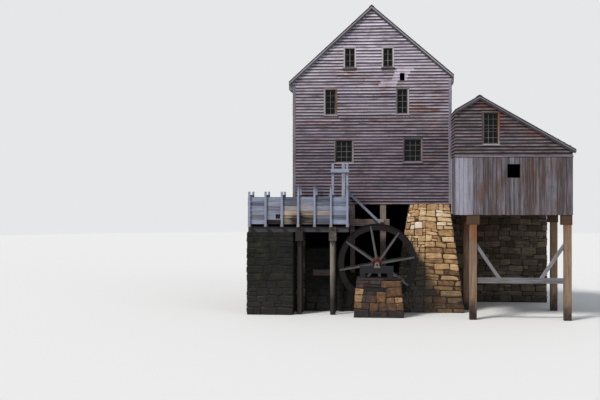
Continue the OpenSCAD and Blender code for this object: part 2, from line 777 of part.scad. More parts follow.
// Shaft with a turned journal at each end
module wheel_shaft() color("#6b5a50") {
    shoulder_front_y = journal_front_y + bearing_l + 40;
    shoulder_rear_y = journal_rear_y - bearing_l - 40;
    on_axle(shoulder_rear_y)
        cylinder(h = shoulder_rear_y - shoulder_front_y, r = shaft_r, $fn = 64);
    on_axle(shoulder_front_y)
        cylinder(h = shoulder_front_y - journal_front_y, r = journal_r, $fn = 64);
    on_axle(journal_rear_y)
        cylinder(h = journal_rear_y - shoulder_rear_y, r = journal_r, $fn = 64);
}

// One plummer block: a foot on the notch of its timber, sloping cheeks and a round cap
module bearing() {
    cheek_x = bearing_cap_r - 8;
    difference() {
        union() {
            linear_extrude(bearing_l)
                polygon([[-bearing_w / 2, -bearing_sink], [bearing_w / 2, -bearing_sink],
                    [bearing_w / 2, bearing_foot_h - bearing_sink], [cheek_x, -40],
                    [-cheek_x, -40], [-bearing_w / 2, bearing_foot_h - bearing_sink]]);
            cylinder(h = bearing_l, r = bearing_cap_r, $fn = 64);
        }
        translate([0, 0, -1])
            cylinder(h = bearing_l + 2, r = journal_r + running_clearance, $fn = 64);
    }
}

module wheel_bearings() color("#8b857c") {
    on_axle(journal_front_y + bearing_l + 20) bearing();
    on_axle(journal_rear_y - 20) bearing();
}

// Timbers under the two bearings, the front one on two blocks
module bearing_timbers() color("#45464c") {
    notch_z = axis_z - bearing_sink;
    x = bearing_timber_x;
    y = bearing_timber_y;
    z = bearing_timber_z;
    difference() {
        block([x[0], y[0], z[0]], [x[1], y[1], z[1]]);
        block([axis_x - bearing_w / 2, y[0] - 1, notch_z],
            [axis_x + bearing_w / 2, y[1] + 1, z[1] + 1]);
    }
    for (block_x = [x[0], x[1] - bearing_block_w - 15])
        block([block_x, y[0], wheel_pier_z], [block_x + bearing_block_w, y[1], z[0] - fit_gap]);
    block([axis_x - 480, undercroft_post_y[1] + 30, pit_wall_z], [axis_x + 480, 470, notch_z]);
}

// The whole mill, moved so that its origin is the middle of its base
module placed() { translate([-origin_x, -origin_y, 0]) children(); }

placed() corner_pier();
placed() pit_wall();
placed() foundation_left();
placed() foundation_rear();
placed() foundation_right();
placed() flume_abutment();
placed() wheel_pier();
placed() wing_foundation();
placed() floor_beams();
placed() undercroft_frame();
placed() front_wall();
placed() rear_wall();
placed() left_wall();
placed() right_wall();
placed() first_floor();
placed() second_floor();
placed() attic_floor();
placed() roof_left();
placed() roof_right();
placed() trim_boards();
placed() window_frames();
placed() window_glass();
placed() entry_door();
placed() entry_door_frame();
placed() wing_front_wall();
placed() wing_left_wall();
placed() wing_right_wall();
placed() wing_rear_wall();
placed() wing_floors();
placed() wing_roof_left();
placed() wing_roof_right();
placed() wing_trim();
placed() wing_posts();
placed() wing_trestle();
placed() flume_floor();
placed() flume_side_near();
placed() flume_side_far();
placed() flume_stanchions();
placed() flume_ties();
placed() flume_joists();
placed() flume_beams();
placed() flume_bents();
placed() flume_brace();
placed() gate_gantry();
placed() gate_board();
placed() gate_stem();
placed() wheel_shroud_front();
placed() wheel_shroud_rear();
placed() wheel_sole();
placed() wheel_buckets();
placed() wheel_spokes();
placed() wheel_hubs();
placed() wheel_shaft();
placed() wheel_bearings();
placed() bearing_timbers();
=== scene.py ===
"""Looks for an overshot watermill: clapboards, upright boards, shingles, stonework, sash bars,
rivets and weathered finishes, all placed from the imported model's own boxes."""
import json
import math

import bpy
import numpy as np
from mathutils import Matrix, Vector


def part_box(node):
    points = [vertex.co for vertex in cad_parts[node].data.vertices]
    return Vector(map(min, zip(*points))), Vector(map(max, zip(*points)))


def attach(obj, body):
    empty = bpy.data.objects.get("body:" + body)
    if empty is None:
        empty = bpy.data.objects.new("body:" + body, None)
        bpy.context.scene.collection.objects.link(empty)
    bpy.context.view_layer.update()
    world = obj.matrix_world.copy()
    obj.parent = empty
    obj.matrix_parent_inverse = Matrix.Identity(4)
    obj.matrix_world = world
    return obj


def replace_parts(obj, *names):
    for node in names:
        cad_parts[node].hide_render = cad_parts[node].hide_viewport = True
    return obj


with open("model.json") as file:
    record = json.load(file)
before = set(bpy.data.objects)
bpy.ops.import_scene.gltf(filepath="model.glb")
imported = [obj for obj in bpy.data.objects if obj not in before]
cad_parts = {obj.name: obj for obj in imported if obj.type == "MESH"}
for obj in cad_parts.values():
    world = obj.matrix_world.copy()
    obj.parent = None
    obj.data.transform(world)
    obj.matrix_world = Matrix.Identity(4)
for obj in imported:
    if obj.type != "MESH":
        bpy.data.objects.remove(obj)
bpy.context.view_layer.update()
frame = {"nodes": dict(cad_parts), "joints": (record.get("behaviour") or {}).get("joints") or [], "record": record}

nodes = frame["nodes"]
X, Y, Z = np.eye(3)
FACINGS = ("front", "rear", "left", "right")

# Boards and shingles, in metres: how much of one shows below the next, how thick its lower edge
# is, its length or width, the gap to its neighbour, and how thin it is at its head, which is
# tucked under the next row. A piece that is cut smaller than SMALLEST_CUT is left out
CLAPBOARD_SHOWS = 0.147
CLAPBOARD_BUTT = 0.022
CLAPBOARD_LENGTHS = (1.5, 4.3)
CLAPBOARD_GAP = 0.003
SHINGLE_SHOWS = 0.14
SHINGLE_BUTT = 0.013
SHINGLE_WIDTHS = (0.09, 0.19)
SHINGLE_GAP = 0.004
HEAD_THICK = 0.003
HEAD_TUCKED = 0.012
SMALLEST_CUT = 0.012
RIDGE_BOARD = 0.15
RAKE_SHOWS = 0.085
VERGE_THICK = 0.022
VERGE_SHARE = 0.6
UPRIGHT_WIDTHS = (0.15, 0.27)
UPRIGHT_THICK = 0.024
UPRIGHT_GAP = 0.01
UPRIGHT_RAGGED = 0.02

# Places on the house's front wall, as metres from its left end and up from the ground: the vent,
# (left, right, low, high); newer pale boards, (height, left, right); and red stains,
# (along, up, half width, half height, strength)
VENT = (5.10, 5.33, 11.01, 11.35)
NEWER_BOARDS = ((11.49, 4.95, 5.77), (11.35, 4.85, 5.6), (11.20, 4.8, 5.5), (11.05, 4.75, 5.45),
                (10.90, 4.2, 5.0), (10.76, 4.1, 4.95))
RED_AREAS = ((1.68, 9.0, 0.28, 0.06, 1.5), (2.4, 11.37, 0.65, 0.26, 1.6),
             (4.55, 10.75, 0.5, 0.25, 1.5), (0.35, 10.19, 0.3, 0.07, 2.0),
             (1.2, 8.98, 0.8, 0.1, 1.6), (4.75, 9.05, 1.9, 0.08, 1.6),
             (5.88, 9.78, 0.5, 0.25, 1.5), (1.78, 10.68, 0.35, 0.08, 1.4),
             (6.7, 9.7, 0.9, 1.3, 0.85))

# The same for the wing's front, and its pale upright boards, (left, right, low, high, tone, stain)
WING_RED_AREAS = ((1.5, 10.1, 4.0, 0.55, 2.4), (2.01, 8.84, 0.11, 0.36, 1.8),
                  (3.6, 8.25, 0.45, 0.2, 1.5))
UPRIGHT_RED_AREAS = ((0.63, 6.95, 0.12, 0.2, 2.0), (3.6, 6.2, 0.8, 0.5, 0.9))
PALE_UPRIGHTS = ((-0.1, 0.25, 0.0, 9.0, 0.85, 0.05), (0.25, 0.55, 0.0, 9.0, 1.05, 0.05),
                 (0.55, 0.85, 0.0, 9.0, 0.7, 0.15))

# Window casings and sashes, in metres
CASING_HIDES = 0.045
CASING_WIDTH = 0.075
CASING_PROUD = 0.028
LINING = 0.030
HOUSE_LINING = 0.126
WING_LINING = 0.105
SILL_HEIGHT = 0.045
SILL_PROUD = 0.063
SILL_EAR = 0.025
APRON_HEIGHT = 0.11
APRON_PROUD = 0.034
SASH_BACK = -0.05
PANE = 0.27
STILE = 0.04
RAIL = 0.05
BAR = 0.011
TOP_WINDOWS_FROM = 11.0
# A casing is the tone of its left board, right board, the right board's stain, and the tones of
# its sill and of the apron under it
FRONT_CASINGS = ((0.1, 0.5, 0.2, 0.7, None), (0.1, 0.25, 0.2, 0.4, None),
                 (0.7, 0.3, 1.4, 0.5, 0.15), (0.2, 0.75, 0.2, 0.6, None),
                 (0.8, 1.1, 0.1, 0.15, 0.0), (0.7, 1.2, 0.1, 0.15, 0.0))
WING_CASING = (0.2, 0.5, 1.3, 0.6, None)

# The entry door, in metres. RING is the handle's radius and how thick its iron is, and a stud is
# given as its radius and height
DOOR_WIDTHS = (0.12, 0.19)
DOOR_THICK = 0.036
LEDGE_FROM_FOOT, LEDGE_FROM_HEAD = 0.22, 0.42
LEDGE_HEIGHT = 0.14
STRAP_THICK = 0.006
JAMB = 0.07
DOOR_SILL = 0.02
RING = (0.042, 0.006)
DOOR_NAIL = (0.01, 0.007)

# The flume's planks: a square hole as its distance left of the third stanchion, its width, and
# how far up its foot and head lie; unlike planks, (bay, lowest row, highest row, tone, stain);
# older brown ones, (bay, row, tone); and dark places on them, (x, z, half width, half height,
# change of tone)
PLANK_ROWS = 6
PLANK_THICK = 0.05
PLANK_HOLE = (0.083, 0.21, 0.25, 0.455)
BAY_PATCHES = ((1, 1, 1, 0.8, 0.3), (2, 3, 3, 1.1, 1.5), (3, 3, 3, 1.1, 1.2),
               (4, 2, 2, 1.0, 1.1), (5, 3, 3, 1.3, 0.1), (5, 2, 2, 0.7, 0.0), (5, 0, 0, 1.0, 0.0))
OLD_PLANKS = ((1, 0, -0.12), (2, 2, 0.95), (2, 1, 0.42), (2, 0, 0.36), (3, 2, 0.5), (3, 1, 0.22),
              (3, 0, 0.15))
DARK_STAINS = ((-5.2, 4.4, 0.17, 0.24, -0.6), (-5.4, 4.5, 0.12, 0.06, -0.3),
               (-4.9, 4.47, 0.11, 0.3, -0.6), (-5.9, 4.5, 0.1, 0.2, -0.3))
BROKEN_END = (-1.40, -1.07)
GUIDE_FOOT, GUIDE_HEAD = 6.605, 6.77
GUIDE_GAP, GUIDE_THICK = 0.062, 0.028
# Bent posts and timbers left of this x take the near-black finish as painted shade
DARK_POSTS_LEFT_OF = -4.2

# Stonework, in metres. A bond is laid out as laid() says. The stones on the front of the wheel's
# pier are (left, right, low, high) as shares of its width and height, with a tone
STONE_GAP = 0.010
STONE_UNEVEN = 0.019
STONE_ROUGH = 0.0045
STONE_PROUD = (0.012, 0.034)
STONE_DEPTH = 0.14
QUOIN_DEPTHS = (0.24, 0.46)
PIER_BOND = ((0.42, 0.36, 0.5), (1, 0.62, 0.25))
WHEEL_PIER_BOND = ((1, 0.62, 0.3),)
FIELD_BOND = ((1, 0.55, 0.25),)
# The top right stone's low tone is a painted shadow under the bearing's foot
PIER_FRONT = ((0.0, 0.64, 0.93, 1.0, 0.3), (0.64, 1.0, 0.94, 1.0, 0.05),
              (0.0, 0.28, 0.84, 0.93, 0.38), (0.28, 0.54, 0.84, 0.93, 0.42),
              (0.54, 1.0, 0.77, 0.94, 0.62), (0.0, 0.17, 0.74, 0.84, 0.36),
              (0.17, 0.54, 0.77, 0.84, 0.25), (0.17, 0.66, 0.66, 0.77, 0.08),
              (0.66, 1.0, 0.51, 0.77, 0.56), (0.0, 0.17, 0.57, 0.74, 0.98),
              (0.17, 0.45, 0.58, 0.66, 0.3), (0.0, 0.15, 0.38, 0.57, 0.92),
              (0.15, 0.45, 0.38, 0.58, 0.45), (0.45, 0.66, 0.38, 0.66, 0.68),
              (0.66, 0.84, 0.37, 0.51, 0.72), (0.84, 1.0, 0.37, 0.51, 0.96),
              (0.0, 0.15, 0.21, 0.38, 0.8), (0.15, 0.31, 0.21, 0.38, 0.42),
              (0.31, 0.5, 0.17, 0.38, 0.6), (0.5, 0.68, 0.17, 0.37, 0.52),
              (0.68, 0.86, 0.17, 0.37, 0.55), (0.86, 1.0, 0.17, 0.37, 0.7),
              (0.0, 0.31, 0.0, 0.21, 0.22), (0.31, 0.68, 0.0, 0.17, 0.35),
              (0.68, 1.0, 0.0, 0.17, 0.3))
SPECIAL_STONES = ((0.3, 3.95, 1.3), (0.65, 3.95, 1.3), (0.45, 4.27, 0.0))

# The stones round this point, (x, 0, z), out to these distances are darkened: partly wet from the wheel's
# splashing water, partly painted shadow of the wheel
WET_SHADE_MIDDLE = (-1.37, 0.0, 1.385)
WET_SHADE_REACH = (2.25, 2.7)

# The wheel's spokes, the rivets along one edge of a shroud, and the radius and height of each
# kind of stud, in metres
SPOKE_ANGLE = math.radians(10)
SPOKE_THICK = 0.03
RIVETS = 64
RIVET = (0.011, 0.008)
SPOKE_BOLT = (0.017, 0.016)
PLATE_BOLT = (0.015, 0.012)
BEARING_BOLT = (0.019, 0.022)

# The photograph's camera: 600 pixels wide, horizon at row 190, looking a little to the left
PHOTO_SIZE = (600, 400)
FOCAL_PIXELS = 1020.0
HORIZON_ROW = 190.0
CAMERA_AT = (-0.855, -52.254, 5.788)
CAMERA_TURN = math.radians(4.955)

# The floor, in metres, and the lamps: name, degrees to the left of the front, degrees up,
# strength, degrees of spread and colour
FLOOR_RADIUS = 90.0
FLOOR_LEVEL = -0.002
LAMPS = (("key", 42, 50, 3.0, 14, (1.0, 0.98, 0.96)),
         ("fill", -50, 25, 0.35, 40, (0.9, 0.95, 1.0)))


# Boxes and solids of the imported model

def box_of(name):
    """The lowest and the highest corner of a node."""
    low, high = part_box(name)
    return np.array(low), np.array(high)


def solids(name):
    """The separate solids of a node, each as its distinct corner points. Points that share a
    triangle take the lowest label among them until no label changes."""
    mesh = nodes[name].data
    place = np.empty(len(mesh.vertices) * 3)
    mesh.vertices.foreach_get("co", place)
    points, point_of = np.unique(place.reshape(-1, 3).round(5), axis=0, return_inverse=True)
    mesh.calc_loop_triangles()
    corners = np.empty(len(mesh.loop_triangles) * 3, int)
    mesh.loop_triangles.foreach_get("vertices", corners)
    triangles = point_of.ravel()[corners].reshape(-1, 3)
    label = np.arange(len(points))
    settled = False
    while not settled:
        lower = label.copy()
        np.minimum.at(lower, triangles.ravel(), label[triangles].min(1).repeat(3))
        settled = (lower == label).all()
        label = lower
    return [points[label == one] for one in np.unique(label)]


def solid_boxes(name):
    """The lowest and the highest corner of each solid of a node."""
    return [(part.min(0), part.max(0)) for part in solids(name)]


# Meshes

def new_piece(name, verts, faces, finish, body="building", slot=None, smooth=False, **fields):
    """One mesh from points and blocks of faces. A field is a value or a vector for each point,
    which the finish reads as an attribute."""
    mesh = bpy.data.meshes.new(name)
    mesh.from_pydata(verts.tolist(), [], [face for block in faces for face in block.tolist()])
    for field, values in fields.items():
        kind, key = ("FLOAT_VECTOR", "vector") if values.ndim > 1 else ("FLOAT", "value")
        attribute = mesh.attributes.new(field, kind, "POINT")
        attribute.data.foreach_set(key, values.astype(np.float32).ravel())
    mesh.polygons.foreach_set("use_smooth", np.full(len(mesh.polygons), smooth))
    mesh.materials.append(finish)
    made = bpy.data.objects.new(name, mesh)
    bpy.context.scene.collection.objects.link(made)
    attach(made, body)
    return made


def grid_faces(rows, columns, joined_rows=False, joined_columns=True):
    """Four-cornered faces between neighbouring points of a grid, whose last row or last column
    may be joined to its first."""
    i, j = np.meshgrid(np.arange(rows if joined_rows else rows - 1),
                       np.arange(columns if joined_columns else columns - 1), indexing="ij")
    i1, j1 = (i + 1) % rows, (j + 1) % columns
    return np.stack([i * columns + j, i * columns + j1, i1 * columns + j1, i1 * columns + j],
                    -1).reshape(-1, 4)


def swept_faces(verts):
    """Faces of closed rings joined one after another and closed at both ends. verts holds pieces,
    rings, corners and coordinates. A piece whose first ring runs clockwise, as seen from its last
    one, has its faces turned round."""
    count, stations, corners = verts.shape[:3]
    ring = verts[:, 0] - verts[:, 0].mean(1, keepdims=True)
    normal = np.cross(ring, np.roll(ring, -1, axis=1)).sum(1)
    way = verts[:, -1].mean(1) - verts[:, 0].mean(1)
    keep = (np.einsum("ij,ij->i", normal, way) > 0)[:, None, None]
    base = np.arange(count)[:, None, None] * stations * corners
    quad = grid_faces(stations, corners)[None] + base
    quad = np.where(keep, quad, quad[..., ::-1]).reshape(-1, 4)
    ends = np.arange(corners)[None, :] + base[:, 0, :]
    first = np.where(keep[:, 0], ends[:, ::-1], ends)
    last = np.where(keep[:, 0], ends, ends[:, ::-1]) + (stations - 1) * corners
    return [quad, first, last]


def carried(start, along, side, out, outline, stations, sway, rng):
    """Closed outlines carried along straight lines:
    point = start + t * along + (p + wave) * side + (q + wave) * out, with t from 0 to 1 and
    wave a sine of the distance with a height of sway. Arrays hold one row for each piece."""
    count = len(outline)
    t = np.linspace(0, 1, stations)
    distance = t[None, :] * np.linalg.norm(along, axis=1)[:, None]
    phase = rng.uniform(0, 6.28, (2, count, 1))
    pitch = rng.uniform(1.1, 2.6, (2, count, 1))
    wave = sway * np.sin(distance * pitch + phase)
    p = outline[:, None, :, 0] + wave[0][:, :, None]
    q = outline[:, None, :, 1] + 0.6 * wave[1][:, :, None]
    verts = (start[:, None, None, :] + t[None, :, None, None] * along[:, None, None, :]
             + p[..., None] * side[:, None, None, :] + q[..., None] * out[:, None, None, :])
    return verts, np.stack(np.broadcast_arrays(distance[:, :, None], p, q), -1)


def boards(name, verts, grain, finish, tone, stain, lap=None, weather=None, seed=1, **how):
    """Boards as one mesh. Each point carries its tone, its stain, how far up its lap it is, and
    grain, a vector with the distance along the board first. weather(points, tone, stain) may
    give each point another tone and stain."""
    shape = verts.shape[:3]
    rng = np.random.default_rng(seed + 77)
    grain = grain + rng.uniform(0, 40, (shape[0], 1, 1, 3))
    lap = np.zeros((shape[0], shape[2])) if lap is None else lap
    points = verts.reshape(-1, 3)
    tone, stain, lap = (np.broadcast_to(values, shape).ravel() for values in (
        tone[:, None, None], stain[:, None, None], lap[:, None, :]))
    if weather:
        tone, stain = weather(points, tone, stain)
    return new_piece(name, points, swept_faces(verts), finish, tone=tone, stain=stain, lap=lap,
                     grain=grain.reshape(-1, 3), **how)


def board_piece(name, start, along, side, out, outline, finish, tone, stain, stations=2,
                sway=0.0, seed=1, **how):
    """Outlines carried along straight lines, as boards."""
    rng = np.random.default_rng(seed)
    verts, grain = carried(start, along, side, out, outline, stations, sway, rng)
    return boards(name, verts, grain, finish, tone, stain, seed=seed, **how)


def chamfered(half_p, half_q, cut):
    """An eight-cornered outline for each piece: a rectangle with its corners cut off."""
    p, q, c = np.broadcast_arrays(half_p, half_q, cut)
    return np.stack([np.stack(pair, -1) for pair in (
        (p - c, -q), (p, c - q), (p, q - c), (p - c, q),
        (c - p, q), (-p, q - c), (-p, c - q), (c - p, -q))], 1)


# Faces of a building: where it starts, the way along it, the way up it and the way out of it

def wall_face(low, high, facing):
    """A wall's outer face seen from outside, from its lower left corner to the right."""
    start, along, out, length = {
        "front": ((low[0], low[1]), X, -Y, high[0] - low[0]),
        "rear": ((high[0], high[1]), -X, Y, high[0] - low[0]),
        "left": ((low[0], high[1]), -Y, -X, high[1] - low[1]),
        "right": ((high[0], low[1]), Y, X, high[1] - low[1])}[facing]
    return np.array([*start, 0.0]), along, Z, out, length


def on_face(face, low, high):
    """A box as seen on a face: lowest and highest place along it, up it and out of it."""
    start, along, up, out, _ = face
    ends = np.array([low, high]) - start
    spans = [np.sort(ends @ way) for way in (along, up, out)]
    return spans


def openings_on(face, reach=0.14):
    """The panes that lie in a face, with the part of the wall that their casings hide."""
    found = []
    for low, high in solid_boxes("window_glass"):
        along, up, out = on_face(face, low, high)
        if -reach < out[0] and out[1] < 0 and along[0] > 0 and along[1] < face[4] \
                and out[1] - out[0] < 0.05:
            found.append((along[0], along[1], up[0], up[1]))
    return found


def widened(rects, by):
    """Rectangles (left, right, low, high) made larger all round."""
    return [(a - by, b + by, c - by, d + by) for a, b, c, d in rects]


def cut_out(rects, holes):
    """Splits rectangles (left, right, low, high, row) round rectangular holes."""
    for a0, a1, c0, c1 in holes:
        left_over = []
        for u0, u1, v0, v1, row in rects:
            if u1 <= a0 or u0 >= a1 or v1 <= c0 or v0 >= c1:
                left_over.append((u0, u1, v0, v1, row))
                continue
            if u0 < a0:
                left_over.append((u0, a0, v0, v1, row))
            if u1 > a1:
                left_over.append((a1, u1, v0, v1, row))
            m0, m1 = max(u0, a0), min(u1, a1)
            if v0 < c0:
                left_over.append((m0, m1, v0, c0, row))
            if v1 > c1:
                left_over.append((m0, m1, c1, v1, row))
        rects = left_over
    return [r for r in rects if r[1] - r[0] > SMALLEST_CUT and r[3] - r[2] > SMALLEST_CUT]


def broken_up(rects, lengths, rng, gap):
    """Breaks long rectangles at random butt joints."""
    pieces = []
    for u0, u1, v0, v1, row in rects:
        u = u0
        while u1 - u > lengths[1]:
            step = rng.uniform(*lengths)
            pieces.append((u, u + step - gap, v0, v1, row))
            u += step
        pieces.append((u, u1, v0, v1, row))
    return pieces


def gable_rows(face, low_v, high_v, shows, apex=None, falls=None):
    """Rows of boards across a face, narrowed to the slopes of a gable where there is one."""
    rows = []
    for row in np.arange(low_v, high_v, shows):
        u0, u1 = 0.0, face[4]
        if apex:
            drop = apex[1] - row - 0.05
            if drop <= 0:
                break
            u0, u1 = max(u0, apex[0] - drop / falls[0]), min(u1, apex[0] + drop / falls[1])
        rows.append((u0, u1, row, min(row + shows, high_v), row))
    return rows


def patched(u, v, tone, stain, patches):
    """Gives the boards whose middle lies in a patch (left, right, low, high, tone, stain) another
    tone and stain."""
    for a0, a1, c0, c1, new_tone, new_stain in patches:
        inside = (u > a0) & (u < a1) & (v > c0) & (v < c1)
        tone, stain = np.where(inside, new_tone, tone), np.where(inside, new_stain, stain)
    return tone, stain


def lapped_boards(name, face, rects, finish, shows, butt, tones, stations=2, sway=0.0,
                  seed=1, patches=(), **how):
    """Clapboards or shingles. The outline is a wedge: thick at the butt, thinning upwards, with
    its head tucked under the next row."""
    rng = np.random.default_rng(seed)
    start, along, up, out, _ = face
    u0, u1, v0, v1, row = np.array(rects).T
    count = len(u0)
    butt = butt * rng.uniform(0.8, 1.15, count)
    thick = lambda v: HEAD_THICK + (butt - HEAD_THICK) * np.clip(
        1 - (v - row) / (shows * 1.12), 0, 1)
    whole = np.abs(v1 - row - shows) < 1e-4
    head = np.where(whole, v1 + HEAD_TUCKED, v1)
    foot = v0 + np.where(np.abs(v0 - row) < 1e-4, rng.uniform(-0.005, 0.003, count), 0)
    edge = 0.004
    zero = np.zeros(count)
    outline = np.stack([np.stack(pair, -1) for pair in (
        (foot, zero), (foot, thick(foot) - edge * 0.5), (foot + edge, thick(foot + edge)),
        (head, thick(head)), (head, zero))], 1)
    lap = np.clip((outline[..., 0] - row[:, None]) / shows, 0, 1)
    tone, stain = patched((u0 + u1) / 2, (v0 + v1) / 2, rng.uniform(*tones, count),
                          rng.beta(1.2, 3.5, count), patches)
    one = np.ones((count, 1))
    return board_piece(name, start + u0[:, None] * along, (u1 - u0)[:, None] * along, one * up,
                       one * out, outline, finish, tone, stain, stations, sway, seed, lap=lap,
                       **how)


def flat_boards(name, face, rects, finish, thick, tones, upright=True, stations=4, sway=0.002,
                seed=1, patches=(), **how):
    """Flat boards side by side, each a chamfered outline carried up or along a face. Their backs
    lie in the face."""
    rng = np.random.default_rng(seed)
    start, along, up, out, _ = face
    u0, u1, v0, v1, _ = np.array(rects).T
    count = len(u0)
    thickness = thick * rng.uniform(0.85, 1.0, count)
    way, across = (up, along) if upright else (along, up)
    s0, s1, c0, c1 = (v0, v1, u0, u1) if upright else (u0, u1, v0, v1)
    outline = chamfered((c1 - c0) / 2, thickness / 2, 0.003)
    origin = start + s0[:, None] * way + ((c0 + c1) / 2)[:, None] * across \
        + (thickness / 2)[:, None] * out
    tone, stain = patched((u0 + u1) / 2, (v0 + v1) / 2, rng.uniform(*tones, count),
                          rng.beta(1.2, 3.5, count), patches)
    one = np.ones((count, 1))
    return board_piece(name, origin, (s1 - s0)[:, None] * way, one * across, one * out, outline,
                       finish, tone, stain, stations, sway, seed, **how)


def side_by_side(u0, u1, v0, v1, widths, gap, rng, ragged=0.0):
    """Upright boards from u0 to u1, with random widths and slightly uneven feet."""
    edges = [u0]
    while edges[-1] < u1 - widths[0]:
        edges.append(edges[-1] + rng.uniform(*widths))
    edges = u0 + (np.array(edges) - u0) * (u1 - u0) / (edges[-1] - u0)
    return [(a + gap / 2, b - gap / 2, v0 + rng.uniform(0, ragged), v1, v0)
            for a, b in zip(edges[:-1], edges[1:])]


# Shader nodes

# Colours that are multiplied or mixed in: an old stain, specks of scale, the painted shade under a lap, the
# hollows between fibres, a crack and grit
OLD_STAIN = (0.04, 0.03, 0.025, 1.0)
SPECKS = (0.25, 0.2, 0.18, 1.0)
PAINTED_LAP_SHADE = (0.07, 0.055, 0.075, 1.0)
FIBRE_HOLLOWS = (0.35, 0.35, 0.36, 1.0)
CRACKS = (0.02, 0.018, 0.017, 1.0)
GRIT = (0.3, 0.28, 0.26, 1.0)

# Heights from which and up to which the siding bleaches, in metres
BLEACHED_FROM, BLEACHED_TO = 8.0, 13.0


def colour(text):
    """A colour written as six hexadecimal digits, as the linear values that Blender uses."""
    values = np.array([int(text[i:i + 2], 16) / 255 for i in (0, 2, 4)])
    linear = np.where(values > 0.04045, ((values + 0.055) / 1.055) ** 2.4, values / 12.92)
    return (*linear, 1.0)


class Field:
    """What an output of a shader node gives over the surface. Fields add up as numbers do."""

    def __init__(self, tree, socket):
        self.tree, self.socket = tree, socket

    def math(self, operation, other=0.0, clamp=False):
        """One step of arithmetic, with the field as its first number."""
        return add(self.tree, "Math", {0: self, 1: other}, operation=operation, use_clamp=clamp)

    def __add__(self, other):
        return self.math("ADD", other)

    def __sub__(self, other):
        return self.math("SUBTRACT", other)

    def __rsub__(self, number):
        return add(self.tree, "Math", {0: number, 1: self}, operation="SUBTRACT")

    def __mul__(self, other):
        return self.math("MULTIPLY", other)


def feed(tree, socket, value):
    """Links a field to a socket, or sets the socket's own value."""
    if isinstance(value, Field):
        tree.links.new(value.socket, socket)
    else:
        socket.default_value = value


def add(tree, kind, inputs=(), output=0, **settings):
    """Adds a shader node and gives one of its outputs. An input is a value or a field."""
    made = tree.nodes.new("ShaderNode" + kind)
    for key, value in settings.items():
        setattr(made, key, value)
    for key, value in dict(inputs).items():
        feed(tree, made.inputs[key], value)
    return Field(tree, made.outputs[output])


def fields_of(tree, node):
    """All outputs of a node, by name."""
    return {socket.name: Field(tree, socket) for socket in node.outputs}


def noise(vector, scale, detail=3.0, rough=0.55):
    """Cloudy values round 0.5."""
    return add(vector.tree, "TexNoise", {"Vector": vector, "Scale": scale, "Detail": detail,
                                         "Roughness": rough})


def stretched(vector, x, y, z):
    """A vector with each axis multiplied by its own number."""
    return add(vector.tree, "VectorMath", {0: vector, 1: (x, y, z)}, operation="MULTIPLY")


def between(value, low, high, to_low=0.0, to_high=1.0):
    """Maps a value from one range to another, held at both ends."""
    return add(value.tree, "MapRange", {"Value": value, "From Min": low, "From Max": high,
                                        "To Min": to_low, "To Max": to_high})


def mixed(share, a, b, blend="MIX"):
    """Goes from colour a to colour b, or to their product, by a share from 0 to 1."""
    return add(share.tree, "Mix", {0: share, 6: a, 7: b}, 2, data_type="RGBA",
               blend_type=blend, clamp_factor=True)


def ramp(value, shades):
    """Colours spread evenly over the values from 0 to 1."""
    made = add(value.tree, "ValToRGB", {0: value})
    elements = made.socket.node.color_ramp.elements
    while len(elements) < len(shades):
        elements.new(0.5)
    for i, (element, text) in enumerate(zip(elements, shades)):
        element.position, element.color = i / (len(shades) - 1), colour(text)
    return made


def new_group(name, inputs, outputs, build):
    """A node group with named sockets, filled by build(inputs), which returns the outputs. An
    input is its usual value: a number, a vector of three or a colour of four."""
    tree = bpy.data.node_groups.new(name, "ShaderNodeTree")
    for socket, value in inputs.items():
        kind = "Float" if isinstance(value, float) else ("Vector", "Color")[len(value) - 3]
        made = tree.interface.new_socket(socket, in_out="INPUT", socket_type="NodeSocket" + kind)
        made.default_value = value
    for socket in outputs:
        kind = "Color" if socket == "Color" else "Float"
        tree.interface.new_socket(socket, in_out="OUTPUT", socket_type="NodeSocket" + kind)
    enter, leave = tree.nodes.new("NodeGroupInput"), tree.nodes.new("NodeGroupOutput")
    for socket, field in build(fields_of(tree, enter)).items():
        feed(tree, leave.inputs[socket], field)
    return tree


def use(tree, group, inputs):
    """Places a node group and gives its outputs by name."""
    return fields_of(tree, add(tree, "Group", inputs, node_tree=group).socket.node)


def build_wood(given):
    """Weathered wood. The vector's first axis runs along the grain: fine fibres, long checks and
    broad patches of stain. Tone picks between the dark and the light colour. Stain of up to 1
    comes in patches, and what is above 1 covers the whole board."""
    vector, stain = given["Vector"], given["Stain"]
    fibre = noise(stretched(vector, 2.0, 70.0, 70.0), 1.0, 4.0, 0.65)
    streak = noise(stretched(vector, 0.8, 16.0, 16.0), 1.0, 3.0, 0.6)
    patch = noise(stretched(vector, 1.1, 3.0, 3.0), 1.0, 2.0)
    check = noise(stretched(vector, 0.7, 34.0, 34.0), 1.0, 2.0)
    crack = between((check - 0.5).math("ABSOLUTE"), 0.0, 0.022, 1.0, 0.0)
    level = given["Tone"].math("ADD", between(streak, 0.3, 0.7, -0.32, 0.32), clamp=True)
    all_over = (stain - 1.0).math("MAXIMUM")
    stained = (between(patch, 0.42, 0.62) * stain).math("ADD", all_over, clamp=True)
    darkened = mixed(between(level, 0.0, 0.8, 0.7, 0.0), given["Stain Color"], OLD_STAIN)
    return {"Color": mixed(stained, mixed(level, given["Dark"], given["Light"]), darkened),
            "Fibre": between(fibre, 0.35, 0.75, 0.0, 0.45), "Crack": crack * 0.6,
            "Height": fibre - crack, "Roughness": between(streak, 0.3, 0.7, 0.72, 0.9)}


